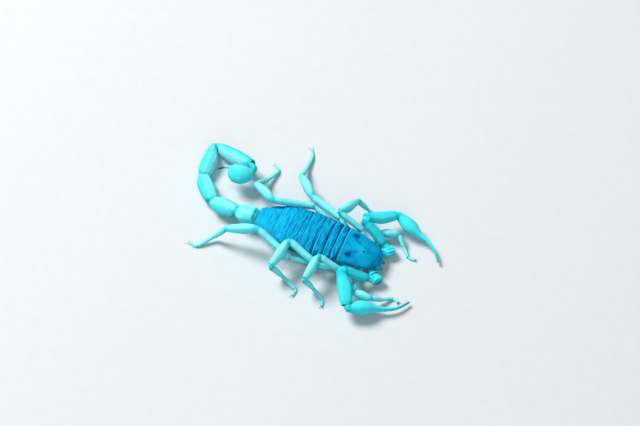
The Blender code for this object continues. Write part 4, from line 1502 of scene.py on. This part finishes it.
class SCORPION_OT_pincers(bpy.types.Operator):
    """Model the two pincer arms with their hands, toothed fingers and joint skin"""
    bl_idname = "scorpion.pincers"
    bl_label = "Pincers"

    def execute(self, context):
        made = finishes(context)
        for side in SIDES:
            pieces, skins = build_pincer(side, context.scene.scorpion_sizes)
            for part, bodies in pieces.items():
                obj = join(f"{side}_pincer_{part}", bodies)
                finish_piece(obj, made.pincer, "pedipalp", f"{side}_pedipalp_{part}")
            finish_piece(join(side + "_pincer_joint_skin", skins), made.arm_skin, "pedipalp")
        return {"FINISHED"}


# ---------------------------------------------------------------- tail
# keels of the first four segments and of the last one, and the furrow along the top of the first four
TAIL_KEELS = (
    (58, 0.055, 9), (122, 0.055, 9), (14, 0.045, 9), (166, 0.045, 9),
    (-36, 0.04, 9), (-144, 0.04, 9), (-74, 0.035, 8), (-106, 0.035, 8))
LAST_KEELS = (
    (50, 0.05, 9), (130, 0.05, 9), (0, 0.04, 9), (180, 0.04, 9), (-52, 0.045, 9), (-128, 0.045, 9),
    (-90, 0.04, 8))
TAIL_FURROW = ((90, -0.07, 18),)
TAIL_SQUARENESS = 0.96

# shades of the keels' grains and girth beside the solid, for each of the five segments
KEEL_TONES = (0.35, 0.28, 0.50, 0.45, 0.15)
TAIL_GROWTH = (1.04, 1.02, 1.02, 0.99, 0.97)
TAIL_GRAIN_SEED = 30

# the flat front end of a tail segment, and the rings of the sting
TAIL_HEAD = ((0.0, 0.5), (0.0, 0.82), (0.05, 0.97), (0.2, 1.03))
STING_PLACES = (-0.10, 0.0, 0.12, 0.26, 0.4, 0.54, 0.68, 0.8, 0.9, 0.96, 1.0)


def first_tail_girth(place):
    """The first segment is the roundest, drawn in at both ends."""
    return 0.99 + 0.13 * hump(place, 0.52, 0.36)


def tail_girth(place):
    """Barrel shaped, and wider again at the rear rim."""
    barrel = 0.09 * hump(place, 0.5, 0.34)
    return 1.0 + barrel + 0.07 * ramp(1 - place, 0.22, 0.0) + 0.04 * ramp(place, 0.18, 0.0)


def tail_spines():
    """Middle lines of the tail's segments, bulb and sting, each from its end nearest the trunk."""
    spines = {}
    low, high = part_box("mesosoma_7")
    reached = np.array((TRUNK_MIDDLE, high.y, (low.z + high.z) / 2))
    for node, roll in TAIL_ROLLS.items():
        rings = cad_rings(node, LEG_CORNERS if node == "aculeus" else TAIL_CORNERS, reached)
        reached = ring_middle(rings)
        spines[node] = Spine(rings, roll)
    return spines


def tail_tone(place, angle):
    """Pale, with a darker neck at the front joint, painted light on top and painted shade below."""
    return tone_of(place, angle, 0.27, 0.27, -0.03, 0.10, 0.05, 0.24)


def first_tail_tone(place, angle):
    """The first segment has painted shade of a hollow on top, close behind its front rim."""
    return tail_tone(place, angle) - 0.75 * hump(place, 0.15, 0.045) * ramp(math.sin(angle), 0.0, 0.6)


def sting_tone(place, _):
    """The sting darkens from the bulb's shade to its hard tip."""
    return 0.95 - 0.95 * ramp(place, 0.25, 0.62)


def build_tail_segment(index, spine, sizes):
    """One hard tail segment with grains along its keels; the first and the last are shaped their own way."""
    first, last = index == 1, index == 5
    keels = LAST_KEELS if last else TAIL_KEELS
    body = limb(
        "tail_segment_body", spine, count=16, corners=48, span=(-0.015, 1.05 if last else 1.02),
        keels=keels if last else keels + TAIL_FURROW, squareness=TAIL_SQUARENESS,
        grow=TAIL_GROWTH[index - 1], tone=first_tail_tone if first else tail_tone,
        head=TAIL_HEAD, tail=COLLAR[2:], girth=first_tail_girth if first else tail_girth)
    spots = keel_grains(
        spine, [keel[0] for keel in keels], keeled(keels), sizes.keel_spacing, sizes.keel_granule,
        squareness=TAIL_SQUARENESS, seed=TAIL_GRAIN_SEED + index)
    grains = add_grains("tail_grains", body, spots, KEEL_TONES[index - 1], tall=0.85)
    return join(f"tail_segment_{index}", [body, grains])


def venom_bulb(spine, neighbour):
    """The bulb of the sting: flat on the side of the segment it folds against, swollen on the other."""
    facing = unit(neighbour - spine.at(0.5)[0])

    def point(row, angle):
        place, share = row
        centre = spine.at(place)[0]
        away = spine.point(place, angle, share * 1.08) - centre
        reach = away @ facing
        return centre + away - facing * (reach * 0.34 if reach > 0 else -reach * 0.14)

    # darker at its joint with the last segment, with painted light on top and painted shade below
    def tone(row, angle):
        return 0.60 - 0.30 * ramp(0.12 - row[0], 0.0, 0.12) + 0.18 * math.sin(angle)
    return tube("venom_bulb", 32, stations(spine, 16, head=SQUARE[::-1], tail=SQUARE), point, tone)


class SCORPION_OT_tail(bpy.types.Operator):
    """Model the five keeled tail segments, the venom bulb and the sting"""
    bl_idname = "scorpion.tail"
    bl_label = "Tail"

    def execute(self, context):
        made = finishes(context)
        spines = tail_spines()
        for index in range(1, 6):
            node = f"metasoma_{index}"
            obj = build_tail_segment(index, spines[node], context.scene.scorpion_sizes)
            finish_piece(obj, made.limb, "tail", node)
        bulb = venom_bulb(spines["vesicle"], spines["metasoma_5"].at(0.5)[0])
        finish_piece(bulb, made.limb, "tail", "vesicle")
        shaft = tube(
            "sting", 16, STING_PLACES,
            lambda place, angle: spines["aculeus"].point(place, angle, 1.0 - 0.8 * ramp(place, 0.72, 1.0)),
            sting_tone)
        finish_piece(shaft, made.sting, "sting", "aculeus")
        chain = [f"metasoma_{index}" for index in range(1, 6)]
        skins = [
            joint_skin("tail_skin", spines[before], spines[after], 0.86, corners=20, overlap=0.06)
            for before, after in zip(chain, chain[1:])]
        skins.append(joint_skin(
            "bulb_skin", spines["metasoma_5"], spines["vesicle"], 0.98, corners=20, overlap=0.04))
        finish_piece(join("tail_joint_skin", skins), made.skin, "tail")
        return {"FINISHED"}


# ---------------------------------------------------------------- bristles
# bristles on each millimetre of a segment's length, and the seeds that they are drawn from
LEG_BRISTLES, ARM_BRISTLES, TAIL_BRISTLES = 5, 7, 7
LEG_SEED, ARM_SEED, TAIL_SEED = 40, 50, 60

# size of one bristle's patch in the bake map
PATCH = 0.003

# the finished piece of a leg that each hard segment is part of
LEG_PIECES = {
    "trochanter": "upper_leg", "femur": "upper_leg", "patella": "knee_piece", "tibia": "lower_leg",
    "basitarsus": "lower_leg", "tarsus": "lower_leg"}


def bristle_spots(spine, draw, density, sizes, lean):
    """Spots of bristles around a spine, leaning to its far end, with their place on its own unwrap."""
    spots, places = [], []
    for _ in range(int(density * spine.length / MM)):
        place, angle = draw.uniform(0.04, 0.96), draw.uniform(-math.pi, math.pi)
        _, along, *_ = spine.at(place)
        out = unit(spine.outward(place, angle) + along * lean)
        reach = sizes.bristle_length * draw.uniform(0.5, 1.25)
        thickness = sizes.bristle_thickness
        root = spine.point(place, angle)
        if root[2] + out[2] * reach < 2 * thickness:
            continue
        spots.append((root, out, (thickness, thickness, reach), along))
        places.append((place, angle / (2 * math.pi) + 0.5))
    return spots, places


def add_bristles(name, spines, density, seed, context, slot, lean=0.9):
    """Bristles on spines, each given with its finished piece, and each root's place in the bake map."""
    sizes = context.scene.scorpion_sizes
    draw = random.Random(seed)
    spots, roots = [], []
    for cell, (piece, spine) in enumerate(spines):
        found, places = bristle_spots(spine, draw, density, sizes, lean)
        spots += seated(bpy.data.objects[piece], found, sink=0.02 * MM)
        roots += [((cell + 0.05 + 0.9 * u) / len(spines), 0.02 + 0.96 * v) for u, v in places]
    deselect()
    bpy.ops.mesh.primitive_cone_add(vertices=3, radius1=0.5, radius2=0.0, depth=1.0, location=(0, 0, 0.5))
    template = name_piece("bristle_template")
    corners = len(template.data.vertices)
    obj = copies(name, template, spots)
    bpy.data.objects.remove(template, do_unlink=True)
    layer = obj.data.uv_layers.new(name="OFBake")
    for loop in obj.data.loops:
        number, corner = divmod(loop.vertex_index, corners)
        turn = 2 * math.pi * corner / corners
        u, v = roots[number]
        layer.data[loop.index].uv = (u + PATCH * math.cos(turn) / 2, v + PATCH * math.sin(turn) / 2)
    store_tone(obj, 0.5)
    finish_piece(obj, finishes(context).bristle, slot)


class SCORPION_OT_bristles(bpy.types.Operator):
    """Set fine bristles on legs, pincers and tail"""
    bl_idname = "scorpion.bristles"
    bl_label = "Bristles"

    def execute(self, context):
        for number, side in enumerate(SIDES):
            spines = []
            for pair in PAIRS:
                parts = leg_spines(side, pair)
                spines += [(f"{side}_leg_{pair}_{piece}", parts[part]) for part, piece in LEG_PIECES.items()]
            add_bristles(side + "_leg_bristles", spines, LEG_BRISTLES, LEG_SEED + number, context, "leg")
            spines = [(f"{side}_pincer_{part}", spine) for part, spine in arm_spines(side).items()]
            add_bristles(
                side + "_pincer_bristles", spines, ARM_BRISTLES, ARM_SEED + number, context, "pedipalp")
        spines = [
            ("venom_bulb" if node == "vesicle" else node.replace("metasoma", "tail_segment"), spine)
            for node, spine in tail_spines().items() if node != "aculeus"]
        add_bristles("tail_bristles", spines, TAIL_BRISTLES, TAIL_SEED, context, "tail", lean=0.6)
        return {"FINISHED"}


# ---------------------------------------------------------------- stage
# where the camera looks, from the frame's origin, and from which side, height and distance
LOOK_AT = Vector((1.664, -1.014, 3.0)) * MM
CAMERA_AZIMUTH = -68.1
CAMERA_ELEVATION = 56.0
CAMERA_DISTANCE = 378.25 * MM
FLOOR_SIDE = 3.0
FIBRE_WIDTH = 2.5 * MM
SKY_STRENGTH = 0.27

# soft lights: azimuth, elevation, distance and side in metres, power in watts and tint
LIGHTS = {
    "key_light": (165, 52, 0.9, 0.35, 8.8, "#FFFFFF"), "fill_light": (-60, 40, 1.1, 0.9, 3.3, "#EAF6FF")}


def from_side(azimuth, elevation):
    """Direction from the model to a point seen at that azimuth and elevation."""
    turn, rise = math.radians(azimuth), math.radians(elevation)
    return Vector((math.sin(turn) * math.cos(rise), -math.cos(turn) * math.cos(rise), math.sin(rise)))


def add_light(name, azimuth, elevation, distance, size, power, tint):
    """A square soft light that looks at the model."""
    direction = from_side(azimuth, elevation)
    deselect()
    bpy.ops.object.light_add(type="AREA", location=LOOK_AT + direction * distance)
    light = bpy.context.object
    light.name = name
    light.rotation_euler = direction.to_track_quat("Z", "Y").to_euler()
    light.data.size = size
    light.data.energy = power
    light.data.color = linear(tint)[:3]


class SCORPION_OT_stage(bpy.types.Operator):
    """Set the pale floor, the soft lights and the camera"""
    bl_idname = "scorpion.stage"
    bl_label = "Stage"

    def execute(self, context):
        scene = context.scene
        deselect()
        bpy.ops.mesh.primitive_plane_add(size=FLOOR_SIDE)
        floor = name_piece("floor")
        # matt paper: plain and pale, with a slight cloud of its fibres
        paper, tree, shader, place = start_finish("matt_studio_paper")
        fibre = add_node(
            tree, "ShaderNodeTexNoise", {"Scale": 1 / FIBRE_WIDTH}, {"Vector": place}).outputs["Fac"]
        shades = add_node(tree, "ShaderNodeValToRGB", None, {"Fac": fibre})
        shades.color_ramp.elements[0].color = linear("#D9DCDE")
        shades.color_ramp.elements[1].color = linear("#DFE2E4")
        tree.links.new(shades.outputs["Color"], shader.inputs["Base Color"])
        shader.inputs["Roughness"].default_value = 0.9
        floor.data.materials.append(paper)
        world = bpy.data.worlds.new("studio")
        scene.world = world
        world.use_nodes = True
        sky = world.node_tree.nodes["Background"].inputs
        sky["Color"].default_value = linear("#E9F2F7")
        sky["Strength"].default_value = SKY_STRENGTH
        for name, settings in LIGHTS.items():
            add_light(name, *settings)
        data = bpy.data.cameras.new("camera")
        camera = bpy.data.objects.new("camera", data)
        scene.collection.objects.link(camera)
        direction = from_side(CAMERA_AZIMUTH, CAMERA_ELEVATION)
        camera.location = LOOK_AT + direction * CAMERA_DISTANCE
        camera.rotation_euler = direction.to_track_quat("Z", "Y").to_euler()
        data.lens = scene.scorpion_sizes.lens
        data.sensor_width = 36.0
        data.clip_start = 0.01
        data.clip_end = 20.0
        scene.camera = camera
        scene.view_settings.view_transform = "Standard"
        return {"FINISHED"}


class SCORPION_PT_panel(bpy.types.Panel):
    """Sizes, colours and one button for each piece"""
    bl_label = "Scorpion"
    bl_idname = "SCORPION_PT_panel"
    bl_space_type = "VIEW_3D"
    bl_region_type = "UI"
    bl_category = "Scorpion"

    def draw(self, context):
        layout = self.layout
        for group in (context.scene.scorpion_sizes, context.scene.scorpion_colours):
            box = layout.box()
            for key in group.__annotations__:
                box.prop(group, key)
        for operator in OPERATORS:
            layout.operator(operator.bl_idname)


OPERATORS = (
    SCORPION_OT_head_shield,
    SCORPION_OT_eyes,
    SCORPION_OT_back_plates,
    SCORPION_OT_belly_plates,
    SCORPION_OT_trunk_skin,
    SCORPION_OT_jaws,
    SCORPION_OT_breast_plate,
    SCORPION_OT_combs,
    SCORPION_OT_legs,
    SCORPION_OT_pincers,
    SCORPION_OT_tail,
    SCORPION_OT_bristles,
    SCORPION_OT_stage,
)
CLASSES = (ScorpionColours, ScorpionSizes, *OPERATORS, SCORPION_PT_panel)


def register():
    """Make the classes known to Blender and give the scene its sizes and colours."""
    for cls in CLASSES:
        bpy.utils.register_class(cls)
    bpy.types.Scene.scorpion_colours = PointerProperty(type=ScorpionColours)
    bpy.types.Scene.scorpion_sizes = PointerProperty(type=ScorpionSizes)


def unregister():
    """Take back what register does."""
    del bpy.types.Scene.scorpion_sizes
    del bpy.types.Scene.scorpion_colours
    for cls in reversed(CLASSES):
        bpy.utils.unregister_class(cls)


def main():
    """Build every piece."""
    register()
    for operator in OPERATORS:
        group, action = operator.bl_idname.split(".")
        getattr(getattr(bpy.ops, group), action)()
    deselect()


if __name__ == "__main__":
    main()
